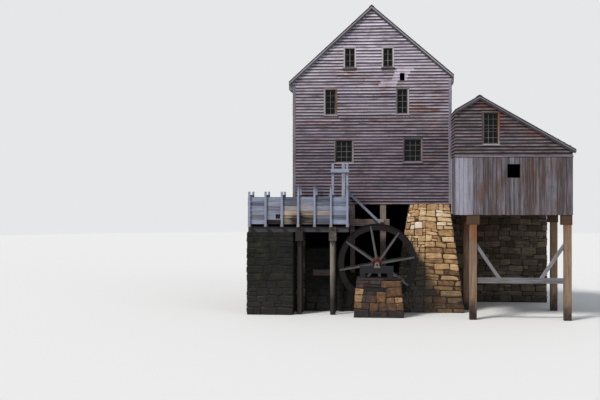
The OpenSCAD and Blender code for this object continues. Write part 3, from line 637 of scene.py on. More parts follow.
def build_stone(given):
    """Rough stone: broad blotches round each block's tone, thin bedding lines and fine grit."""
    vector = given["Vector"]
    blotch = noise(vector, 5.0, 4.0, 0.6)
    grit = noise(vector, 60.0, 3.0, 0.7)
    bedding = noise(stretched(vector, 2.5, 2.5, 26.0), 1.0, 3.0)
    return {"Level": given["Tone"].math("ADD", between(blotch, 0.3, 0.7, -0.2, 0.2), clamp=True),
            "Seam": between(bedding, 0.5, 0.66, 0.0, 0.5),
            "Grit": between(grit, 0.3, 0.8, 0.0, 0.35), "Height": blotch * 0.8 + grit * 0.2,
            "Roughness": between(blotch, 0.3, 0.7, 0.75, 0.95)}


def build_rust(given):
    """Iron with scale and rust: rust gathers in cloudy patches with a speckled rim."""
    vector = given["Vector"]
    cloud = noise(vector, 3.2, 5.0, 0.62)
    speckle = noise(vector, 48.0, 3.0, 0.7)
    run = noise(stretched(vector, 9.0, 9.0, 1.2), 1.0, 3.0)
    share = cloud * 0.7 + run * 0.3 + speckle * 0.22
    mask = between(share - (1.08 - given["Rust"] * 0.9), -0.22, 0.1)
    shade = mixed(mask, given["Iron"], given["Rust Color"])
    return {"Color": mixed(between(speckle, 0.45, 0.75, 0.0, 0.45), shade, SPECKS, "MULTIPLY"),
            "Height": speckle + mask, "Roughness": between(mask, 0.0, 1.0, 0.42, 0.85),
            "Metallic": between(mask, 0.0, 1.0, 0.55, 0.0)}


def build_damp(given):
    """How wet a point is: 1 at the foot and 0 above a ragged line at the given height."""
    rise = add(given["Vector"].tree, "SeparateXYZ", {0: given["Vector"]}, "Z")
    ragged = between(noise(given["Vector"], 1.6, 4.0), 0.3, 0.7, -0.35, 0.35)
    return {"Wet": between(rise + ragged, given["From"], given["To"], 1.0, 0.0)}


def build_wet_and_wheel_shadow(given):
    """How wet and shaded a point is: 1 near a middle, as seen from the front, and 0 past a ragged edge. The ring
    is partly wetness from the wheel and partly painted shadow of the wheel.
    """
    vector = given["Vector"]
    apart = add(vector.tree, "VectorMath", {0: vector, 1: given["Middle"]}, operation="SUBTRACT")
    away = add(vector.tree, "VectorMath", {0: stretched(apart, 1.0, 0.0, 1.0)}, "Value",
               operation="LENGTH")
    ragged = between(noise(vector, 2.2, 4.0), 0.3, 0.7, -0.25, 0.25)
    return {"Wet": between(away + ragged, given["From"], given["To"], 1.0, 0.0)}


ORIGIN = (0.0, 0.0, 0.0)
WHITE = (1.0, 1.0, 1.0, 1.0)
WOOD = new_group("Weathered wood", {
    "Vector": ORIGIN, "Tone": 0.5, "Stain": 0.2, "Dark": WHITE, "Light": WHITE,
    "Stain Color": WHITE}, ("Color", "Fibre", "Crack", "Height", "Roughness"), build_wood)
STONE = new_group("Rough stone", {"Vector": ORIGIN, "Tone": 0.5},
                  ("Level", "Seam", "Grit", "Height", "Roughness"), build_stone)
RUST = new_group("Scale and rust", {
    "Vector": ORIGIN, "Rust": 0.5, "Iron": WHITE, "Rust Color": WHITE},
    ("Color", "Height", "Roughness", "Metallic"), build_rust)
DAMP = new_group("Damp foot", {"Vector": ORIGIN, "From": 0.4, "To": 1.2}, ("Wet",), build_damp)
WHEEL_WET_AND_SHADOW = new_group("Spray", {"Vector": ORIGIN, "Middle": ORIGIN, "From": 2.0, "To": 3.0}, ("Wet",),
                  build_wet_and_wheel_shadow)


# Finishes

def new_finish(name):
    """An empty material and its node tree."""
    finish = bpy.data.materials.new(name)
    finish.use_nodes = True
    return finish, finish.node_tree


def dressed(tree, inputs, height=None, strength=0.0, distance=0.0):
    """Feeds the shader's sockets, and its normal with a bump where there is a height."""
    if height:
        inputs["Normal"] = add(tree, "Bump", {"Strength": strength, "Distance": distance,
                                              "Height": height})
    for key, value in inputs.items():
        feed(tree, tree.nodes["Principled BSDF"].inputs[key], value)


def place_of(tree):
    """Object coordinates."""
    return add(tree, "TexCoord", output="Object")


def field_of(tree, name, output="Fac"):
    """A value or a vector that a piece carries at each point."""
    return add(tree, "Attribute", output=output, attribute_name=name)


def wetted(shade, rough, wet, wet_colour, share):
    """Darkens and smooths a finish where it is wet."""
    return mixed(wet * share, shade, colour(wet_colour)), rough - wet * 0.35


def turned_along(tree, axis):
    """Object coordinates with the named axis first, so that the grain runs along it."""
    parts = fields_of(tree, add(tree, "SeparateXYZ", {0: place_of(tree)}).socket.node)
    order = {"X": "XYZ", "Y": "YXZ", "Z": "ZXY"}[axis]
    return add(tree, "CombineXYZ", {i: parts[letter] for i, letter in enumerate(order)})


def wood_finish(name, dark, light, stain_colour, along="grain", tone=0.5, stain=0.2,
                laps=None, bleached=None, chips=None, damp=None, bump=0.35):
    """Wood whose grain follows each board's own attribute, or one axis of the object. laps is the colour of a
    lapped board's pale lower edge, partly wear and partly a painted highlight where light catches the butt, and
    how dark the painted shade is under the next board's edge.
    bleached gives the light, edge and dark colours high up, chips the colour of bare flecks, and
    damp the heights from which and up to which the foot is wet."""
    finish, tree = new_finish(name)
    boards = along == "grain"
    vector = field_of(tree, "grain", "Vector") if boards else turned_along(tree, along)
    place = place_of(tree)
    pale, deep, edge = colour(light), colour(dark), colour(laps[0]) if laps else None
    if bleached:
        rise = add(tree, "SeparateXYZ", {0: place}, "Z")
        high_up = between(rise, BLEACHED_FROM, BLEACHED_TO)
        pale, edge, deep = (mixed(high_up, shade, colour(text))
                            for shade, text in zip((pale, edge, deep), bleached))
    made = use(tree, WOOD, {
        "Vector": vector, "Tone": field_of(tree, "tone") if boards else tone,
        "Stain": field_of(tree, "stain") if boards else stain,
        "Dark": deep, "Light": pale, "Stain Color": colour(stain_colour)})
    shade, rough = made["Color"], made["Roughness"]
    if laps:
        lap = field_of(tree, "lap")
        wide = between(noise(stretched(place, 0.35, 0.35, 0.8), 1.0, 3.0), 0.38, 0.62)
        uneven = between(noise(stretched(vector, 1.6, 5.0, 5.0), 1.0, 4.0, 0.6),
                         0.36, 0.6, 0.1, 1.0)
        # Pale lower edge of each lap: partly wear, partly a painted highlight where light catches the butt
        wear_and_highlight = between(lap, 0.12, 0.5, 1.0, 0.0) * uneven * between(wide, 0.0, 1.0, 0.68, 1.0)
        shade = mixed(wear_and_highlight, shade, edge)
    if chips:
        chip = noise(stretched(vector, 1.6, 14.0, 14.0), 1.0, 2.0)
        shade = mixed(between(chip, 0.67, 0.71, 0.0, 0.75), shade, colour(chips))
    if laps:
        # Painted shade: the top of each lap's exposed face is darkened where the next row's butt shades it, less
        # on newer boards
        newer = between(field_of(tree, "tone"), 1.0, 1.15, 1.0, 0.45)
        under = between(lap, 0.32, 0.62, 0.0, laps[1]) * newer
        shade = mixed(under * between(wide, 0.0, 1.0, 1.0, 0.86), shade, PAINTED_LAP_SHADE, "MULTIPLY")
    shade = mixed(made["Fibre"], shade, FIBRE_HOLLOWS, "MULTIPLY")
    shade = mixed(made["Crack"], shade, CRACKS)
    if damp:
        wet = use(tree, DAMP, {"Vector": place, "From": damp[0], "To": damp[1]})["Wet"]
        shade, rough = wetted(shade, rough, wet, "151311", 0.92)
    dressed(tree, {"Base Color": shade, "Roughness": rough, "Specular IOR Level": 0.25},
            made["Height"], bump, 0.006)
    return finish


def stone_finish(name, shades, seam, damp=None, moss=0.0, tone=None, spray=False):
    """Stone with a tone for each block, a wet dark foot and, where asked, green growth and a dark ring round the
    wheel, partly wet and partly painted shadow of the wheel. shades runs from the darkest tone to the lightest."""
    finish, tree = new_finish(name)
    place = place_of(tree)
    made = use(tree, STONE, {
        "Vector": place, "Tone": field_of(tree, "tone") if tone is None else tone})
    shade, rough = mixed(made["Seam"], ramp(made["Level"], shades), colour(seam)), made["Roughness"]
    shade = mixed(made["Grit"], shade, GRIT, "MULTIPLY")
    if moss:
        patch = noise(place, 1.7, 4.0, 0.65)
        shade = mixed(between(patch, 0.5, 0.68, 0.0, moss), shade, colour("3d4426"))
    # The ring round the wheel: partly wet stone, partly painted shadow of the wheel
    if spray:
        wet = use(tree, WHEEL_WET_AND_SHADOW, {"Vector": place, "Middle": WET_SHADE_MIDDLE,
                                "From": WET_SHADE_REACH[0], "To": WET_SHADE_REACH[1]})["Wet"]
        shade, rough = wetted(shade, rough, wet, "20231b", 0.85)
    if damp:
        wet = use(tree, DAMP, {"Vector": place, "From": damp[0], "To": damp[1]})["Wet"]
        shade, rough = wetted(shade, rough, wet, "17130f", 0.8)
    dressed(tree, {"Base Color": shade, "Roughness": rough, "Specular IOR Level": 0.3},
            made["Height"], 0.4, 0.012)
    return finish


def iron_finish(name, iron, rust_colour, rust):
    """Iron with a share of rust, in its own two colours."""
    finish, tree = new_finish(name)
    made = use(tree, RUST, {"Vector": place_of(tree), "Rust": rust, "Iron": colour(iron),
                            "Rust Color": colour(rust_colour)})
    dressed(tree, {"Base Color": made["Color"], "Roughness": made["Roughness"],
                   "Metallic": made["Metallic"], "Specular IOR Level": 0.25},
            made["Height"], 0.3, 0.004)
    return finish


def glass_finish():
    """Old panes: a little glossy and wavy, and dark: the dark colour is painted shade of the rooms behind them."""
    finish, tree = new_finish("Old glass")
    ripple = noise(place_of(tree), 5.0, 2.0)
    dressed(tree, {"Base Color": mixed(ripple, colour("07080a"), colour("121518")),
                   "Roughness": 0.1, "IOR": 1.45, "Specular IOR Level": 0.1,
                   "Transmission Weight": 0.15}, ripple, 0.12, 0.01)
    return finish


# A laps pair gives the pale lower edge (wear and painted highlight) and the strength of the painted shade under
# each lap
SIDING = wood_finish("Siding", "4d454e", "827683", "84564b", laps=("a89da8", 0.94),
                     bleached=("faeffc", "fff8ff", "897b8d"), chips="bd7847")
WING_SIDING = wood_finish("Wing siding", "3a3235", "62585c", "7a4438", laps=("9a9195", 0.92))
UPRIGHT = wood_finish("Upright boards", "504747", "aaa8b6", "8a5a3c")
PLANK = wood_finish("Flume planks", "464b5a", "9da4b9", "a5917b")
OLD_PLANK = wood_finish("Old flume planks", "1a1615", "d0baa0", "5d5048")
BEAM = wood_finish("Sawn beams", "35353b", "6e6c70", "6b4a35", damp=(0.3, 1.2))
# Near-black timber for the leftmost bent posts, the packing under the flume's floor and the board behind its hole:
# the darkness is painted shade
SHADED_DARK_BEAM = wood_finish("Dark wet beams", "1b1817", "3f3835", "3b2a22")
FRAME_POST = wood_finish("Undercroft posts", "5a4a44", "8f8078", "6e4a3c", damp=(0.2, 1.0))
POST = wood_finish("Wing posts", "55402f", "a98f78", "9c6440", damp=(0.2, 1.0))
PALE_WOOD = wood_finish("Grey braces", "68666a", "a3a1a6", "7c6a58")
LOG = wood_finish("Peeled log", "443e38", "a0968a", "6a5440", damp=(0.7, 2.3))
CASING = wood_finish("Window casings", "443d40", "d2cacb", "9a5f3a")
SASH = wood_finish("Sash bars", "2b2a28", "a8a49e", "8a6248", bump=0.15)
SHINGLE = wood_finish("Shingles", "45423f", "7d7873", "5a4436", laps=("8a8580", 0.6))
DOOR = wood_finish("Door boards", "453d3a", "6f6560", "6a4636")
TRIM = wood_finish("Weathered trim", "3f393e", "a8a2ac", "7d5a4a")
WING_TRIM = wood_finish("Wing trim", "5d565c", "a8a2ac", "7d4a3a")
GATE = wood_finish("Gate boards", "6c727e", "b0b6c2", "8a7a66")

WALL_BACK = wood_finish("Boarding behind", "3b3539", "554d52", "4a3630", along="X", tone=0.4)
FLOOR = wood_finish("Floor boards", "4a4038", "7d6c5a", "5a4030", along="Y")
ROOF_DECK = wood_finish("Roof boards", "211c1e", "383033", "5a4038", along="Y", tone=0.4)
FLUME_BED = wood_finish("Flume boards", "50565f", "8b929f", "8a6a48", along="X", stain=0.5)
GATE_STEM = wood_finish("Gate stem", "6c727e", "b0b6c2", "8a7a66", along="Z", tone=0.7)
BEARING_WOOD = wood_finish("Bearing timber", "111216", "26272b", "3b2a22", along="X", tone=0.7)

LIT_STONE = stone_finish("Lit sandstone", ("5a402c", "98744f", "c39c6c", "deb482", "f0d0a2",
                                           "f9ebd2"), "6a4828", damp=(0.2, 2.8), spray=True)
PIER_STONE = stone_finish("Pier stone", ("171413", "2d2625", "463a37", "654930", "836340",
                                         "b2906a"), "221a18", damp=(0.0, 0.6))
# Near-black stone for the pit's wall and the flume's abutment: partly wet, partly painted shade, as they stand in
# deep shade
WET_SHADED_STONE = stone_finish("Wet fieldstone", ("070706", "0f0f0d", "1c1a15"), "090908",
                         damp=(0.3, 1.6), moss=0.3)
FIELD_STONE = stone_finish("Fieldstone", ("4a4036", "62564a", "76695a", "8a7a64"), "3a3028",
                           damp=(0.1, 0.9), moss=0.2)
JOINTS = stone_finish("Shadowed joints", ("14100d", "1d1814", "2a231d"), "0f0c0a", tone=0.4)
SANDY_JOINTS = stone_finish("Sandy joints", ("33220f", "44301a", "553d24"), "2a1c10", tone=0.4,
                            damp=(0.2, 2.8), spray=True)

WHEEL_STEEL = iron_finish("Wheel steel", "0a0a0e", "161214", 0.6)
SPOKE_IRON = iron_finish("Spoke iron", "66686c", "56514e", 0.55)
RED_RUST = iron_finish("Red rust", "43261f", "5a3027", 0.8)
BEARING_IRON = iron_finish("Bearing iron", "8b857c", "6a4c38", 0.35)
GLASS = glass_finish()


def finish_node(finish, *names):
    """Gives a finish to nodes that stay in view."""
    for name in names:
        mesh = nodes[name].data
        mesh.materials.clear()
        mesh.materials.append(finish)


# Walls of the house and the wing

def shown_eaves():
    """Lower edges of the boxed eaves, left and right: the two longest solids of the trim."""
    boxes = sorted(solid_boxes("trim_boards"), key=lambda b: b[0][1] - b[1][1])[:2]
    return {"left": min(boxes, key=lambda b: b[0][0])[0][2],
            "right": max(boxes, key=lambda b: b[0][0])[0][2]}


house_low, house_high = box_of("front_wall")[0], box_of("rear_wall")[1]
wing_low, wing_high = box_of("wing_front_wall")[0], box_of("wing_rear_wall")[1]
eaves = shown_eaves()
siding_foot = house_low[2]
ridge_under = box_of("front_wall")[1][2]
half_width = (house_high[0] - house_low[0]) / 2
side_tops = {"left": box_of("left_wall")[1][2], "right": box_of("right_wall")[1][2]}
side_depth = half_width - (box_of("left_wall")[1][0] - house_low[0])
fall = {side: (ridge_under - side_tops[side]) / side_depth for side in side_tops}


def red_weather(left, areas):
    """More stain near some places of a wall. An area is its middle along the wall and up it, its
    half width and half height, and its stain, which fades as exp(-(distance / half size)^2)."""
    def weather(points, tone, stain):
        along, up = points[:, 0] - left, points[:, 2]
        for u, v, half_u, half_v, amount in areas:
            near = np.exp(-((along - u) / half_u) ** 2 - ((up - v) / half_v) ** 2)
            stain = stain + amount * near
        return tone, stain
    return weather


def clad_house():
    """Clapboards on the four walls of the house."""
    rng = np.random.default_rng(11)
    for facing in FACINGS:
        face = wall_face(house_low, house_high, facing)
        holes = widened(openings_on(face), CASING_HIDES)
        patches, weather = [], None
        if facing in ("front", "rear"):
            ends = ("left", "right") if facing == "front" else ("right", "left")
            rows = gable_rows(face, siding_foot, ridge_under, CLAPBOARD_SHOWS,
                              (half_width, ridge_under), [fall[end] for end in ends])
        else:
            rows = gable_rows(face, siding_foot, eaves[facing] + 0.02, CLAPBOARD_SHOWS)
        if facing == "front":
            holes.append(VENT)
            weather = red_weather(house_low[0], RED_AREAS)
            for v, a0, a1 in NEWER_BOARDS:
                row = next(r for r in rows if r[2] <= v < r[3])
                rows.remove(row)
                u0, u1, *rest = row
                rows += [(u0, a0 - CLAPBOARD_GAP, *rest), (a0, a1, *rest),
                         (a1 + CLAPBOARD_GAP, u1, *rest)]
                patches.append((a0 - 0.01, a1 + 0.01, row[2], row[3], 1.2, 0.0))
            lowest_row = (-1.0, 9.0, siding_foot - 0.1, siding_foot + CLAPBOARD_SHOWS)
            patches.append((*lowest_row, 0.75, 0.6))
        if facing == "left":
            along, up, _ = on_face(face, *box_of("entry_door_frame"))
            holes.append((along[0] + 0.02, along[1] - 0.02, up[0] + 0.02, up[1] - 0.02))
        if facing == "right":
            against = on_face(face, wing_low, wing_high)[0][1]
            holes.append((-1.0, against + 0.1, 0.0, box_of("wing_left_wall")[1][2] + 0.12))
        pieces = broken_up(cut_out(rows, holes), CLAPBOARD_LENGTHS, rng, CLAPBOARD_GAP)
        lapped_boards(f"{facing}_clapboards", face, pieces, SIDING, CLAPBOARD_SHOWS,
                      CLAPBOARD_BUTT, (0.0, 1.0), 9, 0.003, 21 + len(facing), patches,
                      weather=weather, slot="siding")


def clad_wing():
    """Clapboards on the wing's walls above its band, and upright boards below it."""
    rng = np.random.default_rng(12)
    band = next(b for b in solid_boxes("wing_trim") if b[1][2] - b[0][2] < 0.1)
    band_low, band_high = band[0][2], band[1][2]
    apex_x = box_of("wing_roof_left")[1][0] - wing_low[0]
    apex_z = box_of("wing_front_wall")[1][2]
    right_top = box_of("wing_right_wall")[1][2]
    pitch = (apex_z - right_top) / (wing_high[0] - wing_low[0] - apex_x)
    hatch = next(o["box_m"] for o in frame["record"]["physics"]["openings"]
                 if o["name"] == "wing_hatch")
    left_end = np.array([wing_high[0], box_of("wing_left_wall")[1][1], 0])
    for facing in FACINGS:
        face = wall_face(wing_low, left_end if facing == "left" else wing_high, facing)
        panes = widened(openings_on(face), CASING_HIDES)
        width = face[4]
        front = facing == "front"
        if facing in ("front", "rear"):
            middle = apex_x if front else width - apex_x
            rows = gable_rows(face, band_high, apex_z, CLAPBOARD_SHOWS, (middle, apex_z),
                              (pitch, pitch))
        else:
            rows = gable_rows(face, band_high, box_of(f"wing_{facing}_wall")[1][2],
                              CLAPBOARD_SHOWS)
        pieces = broken_up(cut_out(rows, panes), CLAPBOARD_LENGTHS, rng, CLAPBOARD_GAP)
        lapped_boards(f"wing_{facing}_clapboards", face, pieces, WING_SIDING, CLAPBOARD_SHOWS,
                      CLAPBOARD_BUTT, (0.1, 0.9), 7, 0.003, 31 + len(facing),
                      weather=red_weather(wing_low[0], WING_RED_AREAS) if front else None,
                      slot="wing_siding")
        uprights = side_by_side(0.0, width, wing_low[2], band_low, UPRIGHT_WIDTHS, UPRIGHT_GAP,
                                rng, UPRIGHT_RAGGED)
        if front:
            along, up, _ = on_face(face, *hatch)
            uprights = cut_out(uprights, widened([(along[0], along[1], up[0], up[1])], 0.01))
        flat_boards(f"wing_{facing}_uprights", face, uprights, UPRIGHT, UPRIGHT_THICK,
                    (0.0, 0.45), seed=41 + len(facing), patches=PALE_UPRIGHTS,
                    weather=red_weather(wing_low[0], UPRIGHT_RED_AREAS) if front else None,
                    slot="wing_siding")


# Roofs

def shingle_roof(name, slab, toward):
    """Shingles on the top of a sloping slab. Its face starts at the eave and runs up the slope."""
    low, high = box_of(slab)
    points = np.concatenate(solids(slab))
    eave_x, ridge_x = (low[0], high[0]) if toward == "left" else (high[0], low[0])
    eave_z = points[np.abs(points[:, 0] - eave_x) < 1e-3][:, 2].max()
    along, start_y = (-Y, high[1]) if toward == "left" else (Y, low[1])
    rise = np.array([ridge_x - eave_x, 0, high[2] - eave_z])
    length = np.linalg.norm(rise)
    up = rise / length
    face = (np.array([eave_x, start_y, eave_z]), along, up, np.cross(along, up), high[1] - low[1])
    rng = np.random.default_rng(len(name))
    rows = gable_rows(face, 0.0, length, SHINGLE_SHOWS)
    shingles = broken_up(rows, SHINGLE_WIDTHS, rng, SHINGLE_GAP)
    lapped_boards(name, face, shingles, SHINGLE, SHINGLE_SHOWS, SHINGLE_BUTT, (0.0, 1.0),
                  2, 0.0, 5 + len(name), slot="shingles")
    return face_box(face, (0.02, face[4] - 0.02), (length - RIDGE_BOARD, length + 0.015),
                    (SHINGLE_BUTT + 0.001, SHINGLE_BUTT + 0.021))


# Windows

def face_box(face, u, v, w):
    """The eight corners of a box given along a face, up it and out of it."""
    start, along, up, out, _ = face
    pick = np.array(np.meshgrid(u, v, w)).reshape(3, -1).T
    return start + pick @ np.array([along, up, out])


def glazed_faces():
    """The walls that have windows."""
    faces = {facing: wall_face(house_low, house_high, facing) for facing in FACINGS}
    faces["wing"] = wall_face(wing_low, wing_high, "front")
    return faces


def fitted(name, fittings, finish, **how):
    """Sawn boards given as (face, place along it, up it and out of it, tone, stain)."""
    face, u, v, w, tones, stains = zip(*fittings)
    return hewn(name, [face_box(*box) for box in zip(face, u, v, w)], finish, cut=0.004, sway=0.0,
                tone=tones, stained=stains, slot="window_paint", **how)


def window_boards():
    """A casing of four boards, a sill and a lining round every pane. The upper windows of the
    front have an apron under the sill."""
    fittings = []
    rng = np.random.default_rng(8)
    for facing, face in glazed_faces().items():
        panes = sorted(openings_on(face), key=lambda pane: (round(pane[2], 0), pane[0]))
        lining_out = (-(WING_LINING if facing == "wing" else HOUSE_LINING), -0.001)
        for i, (u0, u1, v0, v1) in enumerate(panes):
            plain = (rng.uniform(0.35, 0.7), rng.uniform(0.35, 0.7), 0.2, 0.45, None)
            left, right, right_stain, sill, apron = FRONT_CASINGS[i] if facing == "front" \
                else WING_CASING if facing == "wing" else plain
            a, b, foot = u0 - CASING_WIDTH, u1 + CASING_WIDTH, v0 - CASING_WIDTH
            sill_foot, side = foot - 0.001, (0.0, CASING_PROUD)
            parts = [((a, u0), (foot, v1), side, left, 0.2),
                     ((u1, b), (foot, v1), side, right, right_stain),
                     ((a, b), (v1, v1 + CASING_WIDTH), side, left * 0.6, right_stain),
                     ((u0, u1), (v0 - 0.03, v0), (0.0, CASING_PROUD - 0.004), sill, 0.2),
                     ((a - SILL_EAR, b + SILL_EAR), (sill_foot, foot + SILL_HEIGHT),
                      (0.0, SILL_PROUD), sill, 0.3)]
            if apron is not None:
                parts.append(((a, b), (sill_foot - APRON_HEIGHT, sill_foot - 0.002),
                              (0.0, APRON_PROUD), apron, 0.5))
            lined = (u0 - LINING, u1 + LINING)
            parts += [(u, v, lining_out, 0.15, 0.2) for u, v in (
                ((lined[0], u0), (v0, v1)), ((u1, lined[1]), (v0, v1)),
                (lined, (v1, v1 + LINING)), (lined, (v0 - LINING, v0)))]
            fittings += [(face, *part) for part in parts]
    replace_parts(fitted("window_boards", fittings, CASING, stations=3), "window_frames")


def sash_bars():
    """Stiles, rails and bars in front of every pane."""
    fittings = []
    for facing, face in glazed_faces().items():
        for u0, u1, v0, v1 in openings_on(face):
            columns, rows = math.ceil((u1 - u0) / PANE), round((v1 - v0) / PANE)
            middle = (v0 + v1) / 2
            top_row = facing == "front" and v0 > TOP_WINDOWS_FROM
            upright, level, stain = (0.9, 0.5, 1.5) if top_row else (0.35, 0.3, 0.1)
            if top_row:
                rows, middle = 3, v0 + (v1 - v0) * 2 / 3
            across = (u0 + STILE, u1 - STILE)
            parts = [((u0, u0 + STILE), (v0, v1), 0.03, 0.05, 0.1),
                     ((u1 - STILE, u1), (v0, v1), 0.03, 0.05, 0.1),
                     (across, (v0, v0 + RAIL), 0.028, 0.08, 0.1),
                     (across, (v1 - STILE, v1), 0.028, 0.08, 0.1),
                     (across, (middle - BAR, middle + BAR), 0.028, level, stain)]
            for u in (u0 + (u1 - u0) * i / columns for i in range(1, columns)):
                parts.append(((u - BAR, u + BAR), (v0 + RAIL, v1 - STILE), 0.022, upright, 0.1))
            for v in (v0 + (v1 - v0) * j / rows for j in range(1, rows)):
                if abs(v - middle) > 0.05:
                    parts.append((across, (v - BAR, v + BAR), 0.018, level, stain))
            fittings += [(face, u, v, (SASH_BACK, SASH_BACK + deep), tone, stained)
                         for u, v, deep, tone, stained in parts]
    fitted("sash_bars", fittings, SASH, stations=2)


def door_boards():
    """The entry door as upright boards with two ledges, two strap hinges and a ring handle, in
    its casing."""
    house = wall_face(house_low, house_high, "left")
    start, along, up, out, _ = house
    (u0, u1), (v0, v1), (w0, w1) = on_face(house, *box_of("entry_door"))
    place = lambda u, v, w: start + u * along + v * up + w * out
    rng = np.random.default_rng(17)
    uprights = side_by_side(u0, u1, v0, v1, DOOR_WIDTHS, 0.004, rng)
    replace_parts(flat_boards("door_boards", (start + w0 * out, *house[1:]), uprights, DOOR,
                            DOOR_THICK, (0.2, 0.9), seed=18, slot="door_wood"), "entry_door")
    feet = [v0 + LEDGE_FROM_FOOT, v1 - LEDGE_FROM_HEAD]
    ledges = [face_box(house, (u0 + 0.02, u1 - 0.02), (v, v + LEDGE_HEIGHT), (w0 + DOOR_THICK, w1))
              for v in feet]
    hewn("door_ledges", ledges, DOOR, slot="door_wood", cut=0.004)
    straps = [face_box(house, (u0 + 0.01, u0 + 0.52), (v + 0.045, v + 0.095),
                       (w1, w1 + STRAP_THICK)) for v in feet]
    hewn("door_straps", straps, WHEEL_STEEL, slot="wheel_steel", cut=0.002, sway=0.0)
    nails = [place(u0 + 0.05 + 0.14 * i, v + 0.07, w1 + STRAP_THICK) for i in range(4)
             for v in feet]
    studs("door_nails", nails, -X, DOOR_NAIL, WHEEL_STEEL, "building", "wheel_steel")
    ring_handle(place(u1 - 0.09, v0 + 0.98, w0 + 0.05))

    (a, b), (foot, head), (inner, proud) = on_face(house, *box_of("entry_door_frame"))
    low, lined, cover = v0 - DOOR_SILL, (u0 - JAMB, u1 + JAMB), (0.001, proud)
    parts = (((lined[0], u0), (low, v1), (inner, 0.0)), ((u1, lined[1]), (low, v1), (inner, 0.0)),
             (lined, (v1, v1 + JAMB), (inner, 0.0)), (lined, (low, v0), (inner, 0.02)),
             ((a, u0), (foot, v1), cover), ((u1, b), (foot, v1), cover),
             ((a, b), (v1, head), cover), ((u0, u1), (foot, low), cover))
    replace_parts(hewn("door_casing", [face_box(house, *part) for part in parts], CASING, cut=0.004,
                     slot="trim"), "entry_door_frame")


def ring_handle(centre):
    """A ring hanging flat on the door: a point is the ring's middle plus
    (R + r cos b) * (cos a, sin a) in the door's plane and r sin b out of it."""
    radius, thick = RING
    a, b = np.meshgrid(np.arange(20) * math.pi / 10, np.arange(8) * math.pi / 4, indexing="ij")
    reach = radius + thick * np.cos(b)
    verts = centre + np.stack([-thick * np.sin(b), reach * np.cos(a), reach * np.sin(a)], -1)
    new_piece("door_ring", verts.reshape(-1, 3), [grid_faces(20, 8, joined_rows=True)],
              WHEEL_STEEL, slot="wheel_steel", smooth=True)


# Timbers that take the place of plain solids

def board_ends(points):
    """The two ends of a six-sided solid, each as four corners in the same order round the board,
    and two ways across it. The ends are the two groups of corners on either side of the middle
    of its longest way."""
    spread = points - points.mean(0)
    reach = spread @ np.linalg.svd(spread)[2][0]
    way = points[reach > 0].mean(0) - points[reach < 0].mean(0)
    way = way / np.linalg.norm(way)
    side = np.cross(way, X if abs(way[0]) < 0.5 else Z)
    side = side / np.linalg.norm(side)
    out = np.cross(way, side)
    ends, begin = [], None
    for group in (reach < 0, reach > 0):
        flat = points[group] - points[group].mean(0)
        angle = np.arctan2(flat @ out, flat @ side)
        begin = angle.min() - 0.1 if begin is None else begin
        ends.append(points[group][np.argsort((angle - begin) % (2 * math.pi))])
    return np.array(ends), side, out


def hewn(name, parts, finish, tones=(0.3, 0.7), stain=0.3, cut=0.008, stations=7, sway=0.0015,
         seed=3, tone=None, stained=None, **how):
    """Six-sided solids as sawn boards with the grain along them. Each corner of the two ends is cut
    off, and point = (1 - t) * first end + t * second end + wave, with t from 0 to 1 and wave a
    sine of the distance along the board."""
    rng = np.random.default_rng(seed)
    verts, grain = [], []
    for points in parts:
        ends, side, out = board_ends(points)
        cuts = []
        for other in (1, -1):
            edge = np.roll(ends, other, axis=1) - ends
            length = np.linalg.norm(edge, axis=2, keepdims=True)
            cuts.append(ends + edge / length * np.minimum(cut, length * 0.3))
        rings = np.stack(cuts, 2).reshape(2, 8, 3)
        t = np.linspace(0, 1, stations)[:, None, None]
        distance = t * np.linalg.norm(rings[1].mean(0) - rings[0].mean(0))
        phase, pitch = rng.uniform(0, 6.28, 2), rng.uniform(1.1, 2.6)
        wave = sway * (np.sin(distance * pitch + phase[0]) * side
                       + np.sin(distance * pitch * 1.3 + phase[1]) * out)
        verts.append((1 - t) * rings[0] + t * rings[1] + wave)
        flat = rings[0] - rings[0].mean(0)
        grain.append(np.stack(np.broadcast_arrays(distance[..., 0], flat @ side, flat @ out), -1))
    count = len(parts)
    tone = rng.uniform(*tones, count) if tone is None else np.array(tone)
    stained = rng.beta(1.5, 2.5, count) * stain * 2 if stained is None else np.array(stained)
    return boards(name, np.array(verts), np.array(grain), finish, tone, stained, seed=seed, **how)


def stand_in(name, node, finish, keep=None, **how):
    """Sawn boards in place of a node's six-sided solids."""
    parts = [part for part in solids(node) if len(part) == 8 and (keep is None or keep(part))]
    made = hewn(name, parts, finish, **how)
    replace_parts(made, node)
    return made


def box_corners(low, high):
    """The eight corners of an upright box."""
    low, high = np.array(low), np.array(high)
    pick = np.array(np.meshgrid((0, 1), (0, 1), (0, 1))).reshape(3, -1).T
    return np.where(pick, high, low)


def log_post(name, low, high, finish, tone, seed):
    """A peeled log: at angle a and height h the radius is r * (0.97 + 0.02 sin(2a + 0.4h + seed) + 0.012 sin(3a +
    1.7h) + 0.008 sin(5h)), and a disc closes each end. Its left side is painted paler and its right side darker,
    by 0.4 cos(a), as painted light from the left."""
    rng = np.random.default_rng(seed)
    rings, around = 24, 28
    a, h = np.meshgrid(np.linspace(0, 2 * math.pi, around, endpoint=False),
                       np.linspace(low[2], high[2], rings))
    radius = (high[0] - low[0]) / 2 * (0.97 + 0.02 * np.sin(2 * a + 0.4 * h + seed)
                                       + 0.012 * np.sin(3 * a + 1.7 * h) + 0.008 * np.sin(5 * h))
    middle = (low + high) / 2
    verts = np.stack([middle[0] + radius * np.cos(a), middle[1] + radius * np.sin(a), h], -1)
    ring = np.arange(around)[None]
    faces = [grid_faces(rings, around), ring[:, ::-1], ring + (rings - 1) * around]
    grain = np.stack([h, radius * np.cos(a) * 2, radius * np.sin(a) * 2], -1)
    # Painted light: the tone falls by 0.4 cos(a), so the left side is paler and the right darker
    return new_piece(name, verts.reshape(-1, 3), faces, finish, slot="log_wood", smooth=True,
                     grain=grain.reshape(-1, 3), tone=(tone - 0.4 * np.cos(a)).ravel(),
                     stain=np.full(a.size, rng.uniform(0.1, 0.3)))


# Stonework

